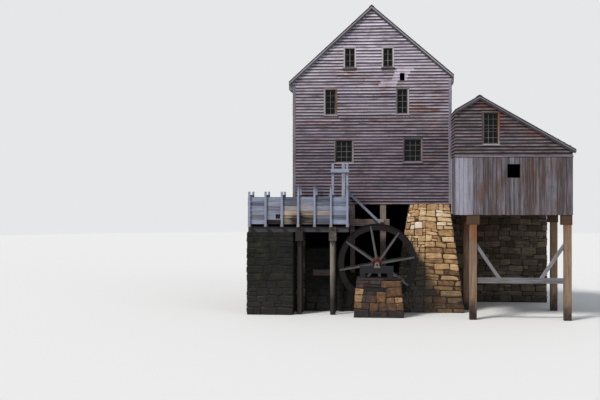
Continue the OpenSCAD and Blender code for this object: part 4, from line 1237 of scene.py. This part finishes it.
def rounded_block(steps=(-1.0, -0.72, 0.72, 1.0), power=9):
    """A block from -1 to 1 whose corners are drawn in: each surface point is divided by
    (|x|^n + |y|^n + |z|^n)^(1/n), with n the power. Returns points and outward faces."""
    n = len(steps)
    cells = grid_faces(n, n, joined_columns=False)[:, (0, 3, 2, 1)]
    a, b = np.meshgrid(steps, steps, indexing="ij")
    sides, faces = [], []
    for axis in range(3):
        for sign in (-1, 1):
            square = np.empty((n, n, 3))
            square[..., axis] = sign
            square[..., (axis + 1) % 3], square[..., (axis + 2) % 3] = a, b
            quads = cells + len(sides) * n * n
            faces.append(quads if sign > 0 else quads[:, ::-1])
            sides.append(square.reshape(-1, 3))
    points = np.concatenate(sides)
    unique, index = np.unique(points.round(6), axis=0, return_inverse=True)
    index = index.ravel()
    faces = index[np.concatenate(faces)]
    unique = unique / (np.abs(unique) ** power).sum(1, keepdims=True) ** (1 / power)
    return unique, faces


def corners_of(points):
    """The eight corners of a six-sided mass, as [low or high][left or right][front or rear]."""
    low = points[points[:, 2] < points[:, 2].mean()]
    high = points[points[:, 2] > points[:, 2].mean()]
    found = np.empty((2, 2, 2, 3))
    for level, ring in enumerate((low, high)):
        for i, x in enumerate((ring[:, 0].min(), ring[:, 0].max())):
            for j, y in enumerate((ring[:, 1].min(), ring[:, 1].max())):
                found[level, i, j] = x, y, ring[0, 2]
    return found


NEIGHBOURS = {"front": ("left", "right"), "right": ("front", "rear"),
              "rear": ("right", "left"), "left": ("rear", "front")}
FACE_CORNERS = {"front": ((0, 0), (1, 0), -Y), "rear": ((1, 1), (0, 1), Y),
                "left": ((0, 1), (0, 0), -X), "right": ((1, 0), (1, 1), X)}


def courses(low, high, mean, rng):
    """Heights of the courses from low to high."""
    steps = rng.uniform(0.7, 1.3, max(2, round((high - low) / mean)))
    return low + (high - low) * np.concatenate([[0], np.cumsum(steps) / steps.sum()])


def laid(s0, s1, width, bond, rng):
    """The stones of one course from s0 to s1, each as (left, right, lower share, upper share) of
    the course. A bond is a list of zones: the share of the width where the zone ends, the usual
    length of its stones, and how often a stone gives way to two thin layers."""
    stones, begin = [], s0
    for share, length, split in bond:
        end = min(s1, share * width) if share < 1 else s1
        if end - begin < 0.06:
            continue
        marks = [begin]
        while end - marks[-1] > length * 1.5:
            marks.append(marks[-1] + length * rng.uniform(0.5, 1.45))
        marks.append(end)
        for a, b in zip(marks[:-1], marks[1:]):
            layer = rng.uniform(0.35, 0.65) if rng.uniform() < split else 1.0
            for h0, h1 in ((0.0, layer), (layer, 1.0)):
                middle = a + (b - a) * rng.uniform(0.35, 0.65)
                halved = layer < 1 and b - a > 0.3 and rng.uniform() < 0.5
                if h1 > h0:
                    stones += [(a, middle, h0, h1), (middle, b, h0, h1)] if halved \
                        else [(a, b, h0, h1)]
        begin = end
    return stones


def wandering(points, head, height):
    """The slow rise and fall of courses, height * (sin(2.3x + 1.9y) + 0.6 sin(5.7x - 4.3y + 3.1z)),
    which fades out at the foot and the head."""
    x, y, z = points[..., 0], points[..., 1], points[..., 2]
    fade = np.clip(z / 0.3, 0, 1) * np.clip((head - z) / 0.3, 0, 1)
    return height * fade * (np.sin(2.3 * x + 1.9 * y) + 0.6 * np.sin(5.7 * x - 4.3 * y + 3.1 * z))


def stones_of_face(facing, shown, width, rows, turned, laid_row, gap, rng):
    """The stones of one face as (left, right, foot, head, depth), row by row. turned holds how
    deep the stones at the corners go, and laid_row(left, right) gives the stones of a row."""
    first, second, _ = FACE_CORNERS[facing]
    wraps = [other in shown for other in NEIGHBOURS[facing]]
    turning = facing in ("front", "rear")
    stones = []
    for k, (z0, z1) in enumerate(rows):
        quoins = turned[k][first], turned[k][second]
        inset = [0.0 if turning or not wrap else depth for wrap, depth in zip(wraps, quoins)]
        left, right = inset[0], width - inset[1]
        for u0, u1, h0, h1 in laid_row(left, right):
            at_end = [turning and wraps[0] and u0 == left, turning and wraps[1] and u1 == right]
            reach = [rng.uniform(*STONE_PROUD) if end else -gap / 2 for end in at_end]
            depth = quoins[0] if at_end[0] else quoins[1] if at_end[1] else STONE_DEPTH
            stones.append((u0 - reach[0], u1 + reach[1], z0 + (z1 - z0) * h0 + gap / 2,
                           z0 + (z1 - z0) * h1 - gap / 2, depth))
    return np.array(stones)


def places_of(stones, ends, width, out, rng):
    """The eight places that a stone fills, four pushed out from the face and four behind it. A
    place at share s across a face and share h up it is
    (1 - h) * ((1 - s) * foot left + s * foot right) + h * ((1 - s) * head left + s * head right),
    moved a little along the face and up it."""
    foot, head = ends[0, 0, 2], ends[1, 0, 2]
    u0, u1, z0, z1, depth = stones.T
    s = np.stack([u0, u1], -1)[:, None, :, None] / width
    h = ((np.stack([z0, z1], -1) - foot) / (head - foot))[:, :, None, None]
    place = (1 - h) * ((1 - s) * ends[0, 0] + s * ends[0, 1]) \
        + h * ((1 - s) * ends[1, 0] + s * ends[1, 1])
    uneven = rng.uniform(-STONE_UNEVEN, STONE_UNEVEN, (2, *place.shape[:3], 1))
    along = (ends[0, 1] - ends[0, 0]) / np.linalg.norm(ends[0, 1] - ends[0, 0])
    place = place + uneven[0] * along + uneven[1] * Z
    proud = rng.uniform(*STONE_PROUD, len(depth))
    pushed = np.stack([-depth, proud], -1)[:, None, None, :, None] * out
    return place[:, :, :, None, :] + pushed


def masonry(name, masses, finish, course, bond, slot, seed, power=9, special=(),
            tones=(0.0, 1.0), wander=0.02, rough=STONE_ROUGH, gap=STONE_GAP, front=(),
            paler=None):
    """Stones laid in courses on the outer faces of masses. A mass is its eight corners and the
    names of its faces that show. Where two of them meet, the stones of the front or rear face
    turn the corner. front gives the stones of a front face one by one, special gives single
    stones another tone, as (x, z, tone), the stone being the one nearest, and paler is how much
    lighter the stones grow from one height to another."""
    rng = np.random.default_rng(seed)
    eight, own_tones = [], []
    for corners, shown in masses:
        foot, head = corners[0, 0, 0, 2], corners[1, 0, 0, 2]
        levels = courses(foot, head, course, rng)
        deepest = 0.4 * (corners[0, 0, 1, 1] - corners[0, 0, 0, 1])
        turned = np.minimum(rng.uniform(*QUOIN_DEPTHS, (len(levels), 2, 2)), deepest)
        if front:
            turned = np.full_like(turned, deepest)
        for facing in shown:
            first, second, out = FACE_CORNERS[facing]
            ends = corners[:, (first[0], second[0]), (first[1], second[1])]
            width = np.linalg.norm((ends[:, 1] - ends[:, 0]).mean(0))
            by_hand = front if facing == "front" else ()
            rows = [(foot, head)] if by_hand else zip(levels[:-1], levels[1:])
            given = [(a * width, b * width, c, d) for a, b, c, d, _ in by_hand]
            laid_row = lambda left, right: given or laid(left, right, width, bond, rng)
            stones = stones_of_face(facing, shown, width, rows, turned, laid_row, gap, rng)
            own_tones += [stone[-1] for stone in by_hand] or [np.nan] * len(stones)
            eight.append(places_of(stones, ends, width, out, rng))
    eight = np.concatenate(eight)
    block, faces = rounded_block(power=power)
    share = (block + 1) / 2
    weight = [np.stack([1 - share[:, i], share[:, i]], -1) for i in range(3)]
    verts = np.einsum("cl,ce,cd,nledk->nck", weight[2], weight[0], weight[1], eight)
    edges = np.stack([eight[:, 0, 1, 0], eight[:, 0, 0, 1], eight[:, 1, 0, 0]], 1) \
        - eight[:, 0, 0, :1]
    shortest = np.linalg.norm(edges[:, (0, 2)], axis=2).min(1)
    small = np.clip(shortest / 0.3, 0.3, 1)[:, None, None]
    verts = verts + small * rng.normal(0, rough, verts.shape)
    verts[..., 2] += wandering(verts, verts[..., 2].max(), wander)
    verts[..., 2] = np.maximum(verts[..., 2], 0.0)
    count = len(eight)
    quads = (faces[None] + (np.arange(count) * len(block))[:, None, None]).reshape(-1, 4)
    turned_round = np.repeat(np.linalg.det(edges) <= 0, len(faces))
    quads[turned_round] = quads[turned_round][:, ::-1]
    tone = np.where(np.isnan(own_tones), rng.uniform(*tones, count), own_tones)
    middle = eight.mean((1, 2, 3))
    if paler:
        by, low, high = paler
        tone = tone + by * np.clip((middle[:, 2] - low) / (high - low), 0, 1)
    for x, z, other in special:
        away = np.abs(middle[:, 0] - x) + np.abs(middle[:, 2] - z) + 9 * (middle[:, 1] > -3)
        tone[np.argmin(away)] = other
    return new_piece(name, verts.reshape(-1, 3), [quads], finish, slot=slot,
                     tone=np.repeat(tone, len(block)))


# Studs: bolts and rivets

def studs(name, centres, out, size, finish, body, slot):
    """Domed heads: rings of eight points at (radius, height) shares (1, 0), (1, .45), (.66, .85),
    closed by a disc below and a point on top. size is the radius and the height."""
    radius, height = size
    centres = np.array(centres)
    out = np.array(out, float)
    side = X if abs(out[0]) < 0.5 else Z
    across = np.cross(out, side)
    angle = np.arange(8) * math.pi / 4
    round_way = np.cos(angle)[:, None] * side + np.sin(angle)[:, None] * across
    rings = [round_way * radius * r + out * height * h for r, h in ((1, 0), (1, .45), (.66, .85))]
    shape = np.concatenate([*rings, (out * height)[None]])
    j = np.arange(8)
    quads = grid_faces(3, 8)
    caps = np.stack([16 + j, 16 + (j + 1) % 8, np.full(8, 24)], -1)
    count = len(centres)
    base = (np.arange(count) * len(shape))[:, None, None]
    verts = centres[:, None, :] + shape[None]
    blocks = [quads[None] + base, caps[None] + base, j[None, None, ::-1] + base]
    return new_piece(name, verts.reshape(-1, 3), [b.reshape(-1, b.shape[-1]) for b in blocks],
                     finish, body, slot)


def wheel_details():
    """Rivets along both edges of each shroud, joint plates between felloes, and bolts where the
    spokes cross the shrouds and meet the hubs."""
    joint = next(j for j in frame["joints"] if j["child"] == "wheel")
    axis = np.array(joint["pos_m"]) * (1, 0, 1)
    spokes = np.concatenate(solids("wheel_spokes"))
    radii = np.hypot(spokes[:, 0] - axis[0], spokes[:, 2] - axis[2])
    tip, root = radii.max(), radii.min()
    low, high = box_of("wheel_spokes")
    radius_of = lambda name: (box_of(name)[1][0] - box_of(name)[0][0]) / 2
    outer, inner = radius_of("wheel_shroud_front"), radius_of("wheel_sole")
    around = lambda turns: np.stack([np.cos(turns), 0 * turns, np.sin(turns)], -1)
    eighth = np.arange(8) * math.pi / 4
    spoke, joints = around(SPOKE_ANGLE + eighth), around(SPOKE_ANGLE + eighth + math.pi / 8)
    rivet = around(SPOKE_ANGLE + (np.arange(RIVETS) + 0.5) * math.pi / (RIVETS / 2))
    for side, plane, way in (("front", low[1], -Y), ("rear", high[1], Y)):
        at_spokes, at_plate = axis + Y * plane, axis + Y * (plane - way[1] * SPOKE_THICK)
        across = np.cross(spoke, Y)
        bolts = [at_spokes + spoke * r + across * s
                 for r in (tip - 0.05, tip - 0.13) for s in (-0.02, 0.02)]
        bolts += [at_spokes + spoke * (root + r) for r in (0.05, 0.1)]
        studs(f"spoke_bolts_{side}", np.concatenate(bolts), way, SPOKE_BOLT, RED_RUST, "wheel",
              "rusty_iron")
        rivets = [at_plate + rivet * r for r in (outer - 0.03, inner + 0.03)]
        studs(f"shroud_rivets_{side}", np.concatenate(rivets), way, RIVET, WHEEL_STEEL,
              "wheel", "wheel_steel")
        plate_side = np.cross(joints, Y)
        start = at_plate + joints * (inner + 0.02) + way * 0.005
        board_piece(f"felloe_plates_{side}", start, joints * (outer - inner - 0.045), plate_side,
                    np.tile(way, (8, 1)), chamfered(np.full(8, 0.075), 0.005, 0.002), WHEEL_STEEL,
                    np.full(8, 0.5), np.zeros(8), body="wheel", slot="wheel_steel")
        corners = [at_plate + joints * r + plate_side * s + way * 0.01
                   for r in (outer - 0.07, inner + 0.07) for s in (-0.045, 0.045)]
        studs(f"plate_bolts_{side}", np.concatenate(corners), way, PLATE_BOLT, WHEEL_STEEL,
              "wheel", "wheel_steel")
    feet = [np.array([x, y, low[2] + 0.045])
            for low, high in solid_boxes("wheel_bearings")
            for x in (low[0] + 0.028, high[0] - 0.028) for y in (low[1] + 0.05, high[1] - 0.05)]
    studs("bearing_bolts", feet, Z, BEARING_BOLT, SPOKE_IRON, "building", "rusty_iron")


# The whole mill

def dark_places(points, tone, stain):
    """Darkens old planks round some places, fading as exp(-(distance / half size)^2)."""
    for x, z, half_x, half_z, change in DARK_STAINS:
        tone = tone + change * np.exp(-((points[:, 0] - x) / half_x) ** 2
                                      - ((points[:, 2] - z) / half_z) ** 2)
    return tone, stain


def joist_packing():
    """Boards between the joists over the far beam, which close the gap under the flume's floor; their near-black
    finish is painted shade.
    """
    joists = sorted(solid_boxes("flume_joists"), key=lambda b: b[0][0])
    far = max(solid_boxes("flume_beams"), key=lambda b: b[0][1])
    back = far[0][1] + 0.03
    hewn("joist_packing", [box_corners((a[1][0], back, far[1][2]), (b[0][0], back + 0.03, a[1][2]))
                           for a, b in zip(joists[:-1], joists[1:])],
         SHADED_DARK_BEAM, cut=0.003, slot="dark_timber")


def flume_planks():
    """Six planks a side, broken at the stanchions, with older and patched ones in some bays and a
    square hole near the foot of one bay."""
    rng = np.random.default_rng(61)
    posts = sorted({round(float((low[0] + high[0]) / 2), 3)
                    for low, high in solid_boxes("flume_stanchions")})
    for side, facing in (("near", "front"), ("far", "rear")):
        node = f"flume_side_{side}"
        low, high = max(solid_boxes(node), key=lambda b: b[1][0] - b[0][0])
        outside = wall_face(low, high, facing)
        backs = (outside[0] - (high[1] - low[1]) * outside[3], *outside[1:])
        bays = [abs(post - outside[0][0]) for post in posts][::1 if side == "near" else -1]
        rows = np.linspace(low[2], high[2], PLANK_ROWS + 1)
        rects = []
        for k, (v0, v1) in enumerate(zip(rows[:-1], rows[1:])):
            breaks = [0.0, *bays[1:-1], outside[4]] if side == "near" else \
                [0.0, *bays[2 + k % 2:-2:2], outside[4]]
            rects += [(a + 0.002, b - 0.002, v0 + 0.004, v1 - 0.005, v0)
                      for a, b in zip(breaks[:-1], breaks[1:])]
        in_bay = lambda bay, first, last, tone, stain: (
            bays[bay] - 0.02, bays[bay + 1] + 0.02, rows[first] - 0.01, rows[last + 1] - 0.01,
            tone, stain)
        patches = [in_bay(*patch) for patch in BAY_PATCHES] if side == "near" else []
        if side == "near":
            hole_u = bays[2] - PLANK_HOLE[0]
            hole = (hole_u - PLANK_HOLE[1], hole_u, *(low[2] + np.array(PLANK_HOLE[2:])))
            rects = cut_out(rects, [hole])
            # A dark board behind the hole, as painted shade inside the flume
            hewn("plank_behind_hole", [face_box(backs, np.array(hole[:2]) + (-0.03, 0.03),
                                                np.array(hole[2:]) + (-0.03, 0.03),
                                                (-0.03, -0.004))],
                 SHADED_DARK_BEAM, tone=[0.0], stained=[0.0], slot="flume_plank")
            old = [in_bay(bay, row, row, tone, 0.2) for bay, row, tone in OLD_PLANKS]
            lies_in = lambda rect, patch: patch[0] < (rect[0] + rect[1]) / 2 < patch[1] \
                and patch[2] < (rect[2] + rect[3]) / 2 < patch[3]
            brown = [rect for rect in rects if any(lies_in(rect, patch) for patch in old)]
            rects = [rect for rect in rects if rect not in brown]
            made = flat_boards("old_flume_planks", backs, brown, OLD_PLANK, PLANK_THICK, (0.5, 0.6),
                               upright=False, stations=7, sway=0.0015, seed=62, patches=old,
                               weather=dark_places, slot="flume_plank")
            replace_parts(made, node)
        made = flat_boards(f"flume_planks_{side}", backs, rects, PLANK, PLANK_THICK, (0.05, 1.0),
                           upright=False, stations=5, sway=0.0015, seed=int(rng.integers(99)),
                           patches=patches, slot="flume_plank")
        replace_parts(made, node)
        cleats = [p for p in solids(node) if p[:, 0].max() - p[:, 0].min() < 0.2]
        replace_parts(hewn(f"gate_cleats_{side}", cleats, PLANK, slot="flume_plank"), node)


def shifted_above(level, over, tone_shift, stain_shift):
    """Adds to the tone and the stain of the points above a level, growing over a height."""
    def weather(points, tone, stain):
        share = np.clip((points[:, 2] - level) / over, 0, 1)
        return (np.clip(tone + tone_shift * share, 0, 1.3),
                np.maximum(stain + stain_shift * share, 0))
    return weather


def below_roof(points):
    """How far points lie below the house roof's underside."""
    off_ridge = points[:, 0] - (house_low[0] + house_high[0]) / 2
    slope = np.where(off_ridge < 0, fall["left"], fall["right"])
    return ridge_under - np.abs(off_ridge) * slope - points[:, 2]


def narrowed(rake):
    """A rake board with its lower edge raised, so that it shows as little as the real one."""
    higher = np.maximum(below_roof(rake) - RAKE_SHOWS, 0)
    return rake + higher[:, None] * Z


def painted_shade_below_rakes(points, tone, stain):
    """Darkens the boards along the gable's slopes towards their lower edges: a painted shadow line."""
    return tone - 0.5 * np.clip(below_roof(points) / RAKE_SHOWS, 0, 1) ** 2, stain


def verge_boards():
    """Boards over the ends of the roof boards, along the lower part of each slope's edge."""
    for group, tones in (("roof", (0.75, 0.95)), ("wing_roof", (0.3, 0.5))):
        parts = []
        for slab in (f"{group}_left", f"{group}_right"):
            points = np.concatenate(solids(slab))
            y = points[:, 1]
            for edge, way in ((y.min(), -VERGE_THICK), (y.max(), VERGE_THICK)):
                corners = []
                for x in (points[:, 0].min(), points[:, 0].max()):
                    ends = points[np.abs(points[:, 0] - x) < 1e-3][:, 2]
                    top = ends.min() + VERGE_SHARE * np.ptp(ends)
                    corners += [(x, at, z) for at in (edge, edge + way)
                                for z in (ends.min(), top)]
                parts.append(np.array(corners))
        hewn(f"{group}_verges", parts, TRIM, tones=tones, stain=0.2, cut=0.004, slot="trim")


def timber_work():
    """Sawn timbers in place of the plain ones."""
    for name, node, finish, slot, tones, stain in (
            ("undercroft_timbers", "undercroft_frame", FRAME_POST, "beam_wood", (0.45, 0.9), 0.5),
            ("joists_under_floor", "floor_beams", BEAM, "beam_wood", (0.0, 0.4), 0.3),
            ("tie_timbers", "flume_ties", PLANK, "flume_plank", (0.2, 0.6), 0.2),
            ("joist_timbers", "flume_joists", PALE_WOOD, "beam_wood", (0.4, 1.0), 0.3),
            ("flume_beam_timbers", "flume_beams", BEAM, "beam_wood", (0.15, 0.5), 0.4),
            ("gantry_timbers", "gate_gantry", PLANK, "flume_plank", (0.8, 1.1), 0.1),
            ("strut_timber", "flume_brace", PLANK, "flume_plank", (0.6, 0.8), 0.1),
            ("wing_trim_boards", "wing_trim", WING_TRIM, "trim", (0.2, 0.8), 0.5),
            ("trestle_timbers", "wing_trestle", PALE_WOOD, "beam_wood", (0.3, 0.8), 0.4),
            ("gate_planks", "gate_board", GATE, "flume_plank", (0.3, 0.7), 0.5)):
        stand_in(name, node, finish, slot=slot, tones=tones, stain=stain,
                 body="gate" if node == "gate_board" else "building")
    is_rake = lambda part: np.ptp(part[:, 2]) > 1.0 and np.ptp(part[:, 0]) > 1.0
    stand_in("house_trim", "trim_boards", TRIM, keep=lambda part: not is_rake(part), slot="trim",
             tones=(0.35, 0.7), stain=0.3)
    rakes = [narrowed(part) for part in solids("trim_boards") if is_rake(part)]
    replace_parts(hewn("rake_boards", rakes, TRIM, tones=(0.85, 1.0), stain=0.2, slot="trim",
                     weather=painted_shade_below_rakes), "trim_boards")
    verge_boards()

    post_top = wing_low[2]
    is_cap = lambda part: part[:, 2].max() > post_top - 0.01
    stand_in("wing_post_timbers", "wing_posts", POST, keep=lambda part: not is_cap(part),
             slot="beam_wood", tones=(0.5, 0.8), stain=0.4,
             weather=shifted_above(post_top - 1.7, 1.0, -0.1, 1.0))
    stand_in("wing_post_caps", "wing_posts", POST, keep=is_cap, slot="beam_wood",
             tones=(-0.35, -0.25), stain=0.1)
    planks_top = box_of("flume_side_near")[1][2]
    # The stanchions are drawn much darker above the planks
    stand_in("stanchion_timbers", "flume_stanchions", PLANK, slot="flume_plank",
             tones=(0.75, 1.1), stain=0.05, weather=shifted_above(planks_top + 0.32, 0.1, -0.8, 0.2))

    # Bent timbers at the flume's left end are drawn near-black, as painted shade
    is_dark = lambda part: part[:, 0].max() < DARK_POSTS_LEFT_OF
    round_posts = [part for part in solids("flume_bents") if len(part) > 16]
    for i, part in enumerate(round_posts):
        finish, tone = (SHADED_DARK_BEAM, 0.5) if is_dark(part) else (LOG, 0.6)
        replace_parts(log_post(f"log_post_{i + 1}", part.min(0), part.max(0), finish, tone, i + 1),
                    "flume_bents")
    stand_in("bent_timbers", "flume_bents", LOG, slot="log_wood", tones=(0.0, 0.3),
             keep=lambda part: not is_dark(part))
    stand_in("dark_bent_timbers", "flume_bents", SHADED_DARK_BEAM, slot="log_wood", tones=(0.3, 0.6),
             keep=is_dark)

    rail = max(solid_boxes("undercroft_frame"), key=lambda b: b[1][0] - b[0][0])
    stub = box_corners((BROKEN_END[0], rail[0][1] - 0.05, rail[1][2] - 0.14),
                       (BROKEN_END[1], rail[0][1] - 0.001, rail[1][2] - 0.01))
    hewn("broken_end", [stub], PLANK, tone=[1.1], stained=[2.0], slot="beam_wood", sway=0.004)


def stem_guide():
    """A board across the front of the gantry that holds the gate's stem in, on two blocks."""
    low, high = box_of("gate_gantry")
    left, right, front = low[0], high[0] - 0.01, low[1] - GUIDE_GAP
    parts = [box_corners((left, front - GUIDE_THICK, GUIDE_FOOT), (right, front, GUIDE_HEAD))]
    parts += [box_corners((x, front, GUIDE_FOOT + 0.01), (x + 0.1, low[1], GUIDE_HEAD - 0.01))
              for x in (left, right - 0.1)]
    hewn("stem_guide", parts, PLANK, tone=[1.1, 0.6, 0.6], stained=[0.1, 0.1, 0.1],
         slot="flume_plank")


def stone_work():
    """Stones on the piers, the foundations, the pit's wall and the flume's abutment."""
    mass = lambda node: [corners_of(part) for part in solids(node)]
    masonry("corner_pier_stones", [(mass("corner_pier")[0], ("front", "left", "right"))],
            LIT_STONE, 0.27, PIER_BOND, "lit_stone", 3, power=7, special=SPECIAL_STONES,
            tones=(0.05, 0.65), wander=0.03, rough=0.008, gap=0.018, paler=(0.34, 2.2, 4.6))
    masonry("wheel_pier_stones", [(mass("wheel_pier")[0], ("front", "left", "right", "rear"))],
            PIER_STONE, 0.3, WHEEL_PIER_BOND, "pier_stone", 4, power=10, tones=(0.1, 0.9),
            wander=0.022, rough=0.008, gap=0.012, front=PIER_FRONT)
    for name, node, finish, shown, seed in (
            ("pit_wall_stones", "pit_wall", WET_SHADED_STONE, ("front",), 5),
            ("left_foundation_stones", "foundation_left", FIELD_STONE,
             ("front", "left", "rear"), 6),
            ("rear_foundation_stones", "foundation_rear", FIELD_STONE, ("rear",), 7),
            ("right_foundation_stones", "foundation_right", FIELD_STONE, ("right", "rear"), 8),
            ("abutment_stones", "flume_abutment", WET_SHADED_STONE, ("front", "left", "right"), 9),
            ("wing_foundation_stones", "wing_foundation", FIELD_STONE,
             ("front", "right", "rear"), 10)):
        masonry(name, [(part, shown) for part in mass(node)], finish, 0.29, FIELD_BOND,
                "dark_stone", seed)


def build():
    """All pieces, and the finishes of the nodes that stay in view."""
    clad_house()
    clad_wing()
    for side in ("left", "right"):
        ridges = [shingle_roof(f"{side}_shingles", f"roof_{side}", side),
                  shingle_roof(f"wing_{side}_shingles", f"wing_roof_{side}", side)]
        hewn(f"ridge_boards_{side}", ridges, TRIM, tones=(0.2, 0.5), slot="trim")
    window_boards()
    sash_bars()
    door_boards()
    timber_work()
    flume_planks()
    joist_packing()
    stem_guide()
    stone_work()
    wheel_details()

    finish_node(SANDY_JOINTS, "corner_pier")
    finish_node(JOINTS, "pit_wall", "foundation_left", "foundation_rear",
                "foundation_right", "flume_abutment", "wheel_pier", "wing_foundation")
    finish_node(WALL_BACK, "front_wall", "rear_wall", "left_wall", "right_wall",
                "wing_front_wall", "wing_left_wall", "wing_right_wall", "wing_rear_wall")
    finish_node(FLOOR, "first_floor", "second_floor", "attic_floor", "wing_floors")
    finish_node(ROOF_DECK, "roof_left", "roof_right", "wing_roof_left", "wing_roof_right")
    finish_node(GLASS, "window_glass")
    finish_node(FLUME_BED, "flume_floor")
    finish_node(GATE_STEM, "gate_stem")
    finish_node(WHEEL_STEEL, "wheel_shroud_front", "wheel_shroud_rear", "wheel_sole",
                "wheel_buckets")
    finish_node(SPOKE_IRON, "wheel_spokes")
    finish_node(RED_RUST, "wheel_hubs", "wheel_shaft")
    finish_node(BEARING_IRON, "wheel_bearings")
    finish_node(BEARING_WOOD, "bearing_timbers")


# Floor, light and camera

# The colour of the light from the sky, which no ray shows
SKY_LIGHT = (0.42, 0.45, 0.50, 1.0)


def seen_or_lit(tree, shown, lit):
    """The colour shown to the camera, mirrors and glass, and the one that lights the rest."""
    path = fields_of(tree, tree.nodes.new("ShaderNodeLightPath"))
    seen = path["Is Glossy Ray"].math("MAXIMUM", path["Is Transmission Ray"])
    return mixed(path["Is Camera Ray"].math("MAXIMUM", seen), lit, shown)


def stage():
    """The pale floor, which is a disc, with the sky, two lamps and the camera."""
    sides = 96
    angle = np.linspace(0, 2 * math.pi, sides, endpoint=False)
    verts = np.stack([FLOOR_RADIUS * np.cos(angle), FLOOR_RADIUS * np.sin(angle),
                      np.full(sides, FLOOR_LEVEL)], -1)
    mesh = bpy.data.meshes.new("floor")
    mesh.from_pydata(verts.tolist(), [], [list(range(sides))])
    finish, tree = new_finish("Pale floor")
    dressed(tree, {"Base Color": seen_or_lit(tree, colour("d9d8d5"), colour("8d8c8a")),
                   "Roughness": 0.9})
    mesh.materials.append(finish)
    floor = bpy.data.objects.new("floor", mesh)
    bpy.context.scene.collection.objects.link(floor)

    world = bpy.data.worlds.new("Pale sky")
    bpy.context.scene.world = world
    world.use_nodes = True
    tree = world.node_tree
    feed(tree, tree.nodes["Background"].inputs["Color"],
         seen_or_lit(tree, colour("e6e7e8"), SKY_LIGHT))

    for name, turn, height, strength, spread, tint in LAMPS:
        lamp = bpy.data.lights.new(name, "SUN")
        lamp.energy, lamp.angle, lamp.color = strength, math.radians(spread), tint
        made = bpy.data.objects.new(name, lamp)
        made.rotation_euler = (math.radians(90 - height), 0, -math.radians(turn))
        bpy.context.scene.collection.objects.link(made)

    camera = bpy.data.cameras.new("camera")
    camera.sensor_width = 36.0
    camera.lens = FOCAL_PIXELS / PHOTO_SIZE[0] * camera.sensor_width
    camera.shift_y = (HORIZON_ROW - PHOTO_SIZE[1] / 2) / PHOTO_SIZE[0]
    camera.clip_end = 400
    made = bpy.data.objects.new("camera", camera)
    made.location = CAMERA_AT
    made.rotation_euler = (math.pi / 2, 0, CAMERA_TURN)
    bpy.context.scene.collection.objects.link(made)
    bpy.context.scene.camera = made
    bpy.context.scene.view_settings.view_transform = "Standard"


build()
stage()
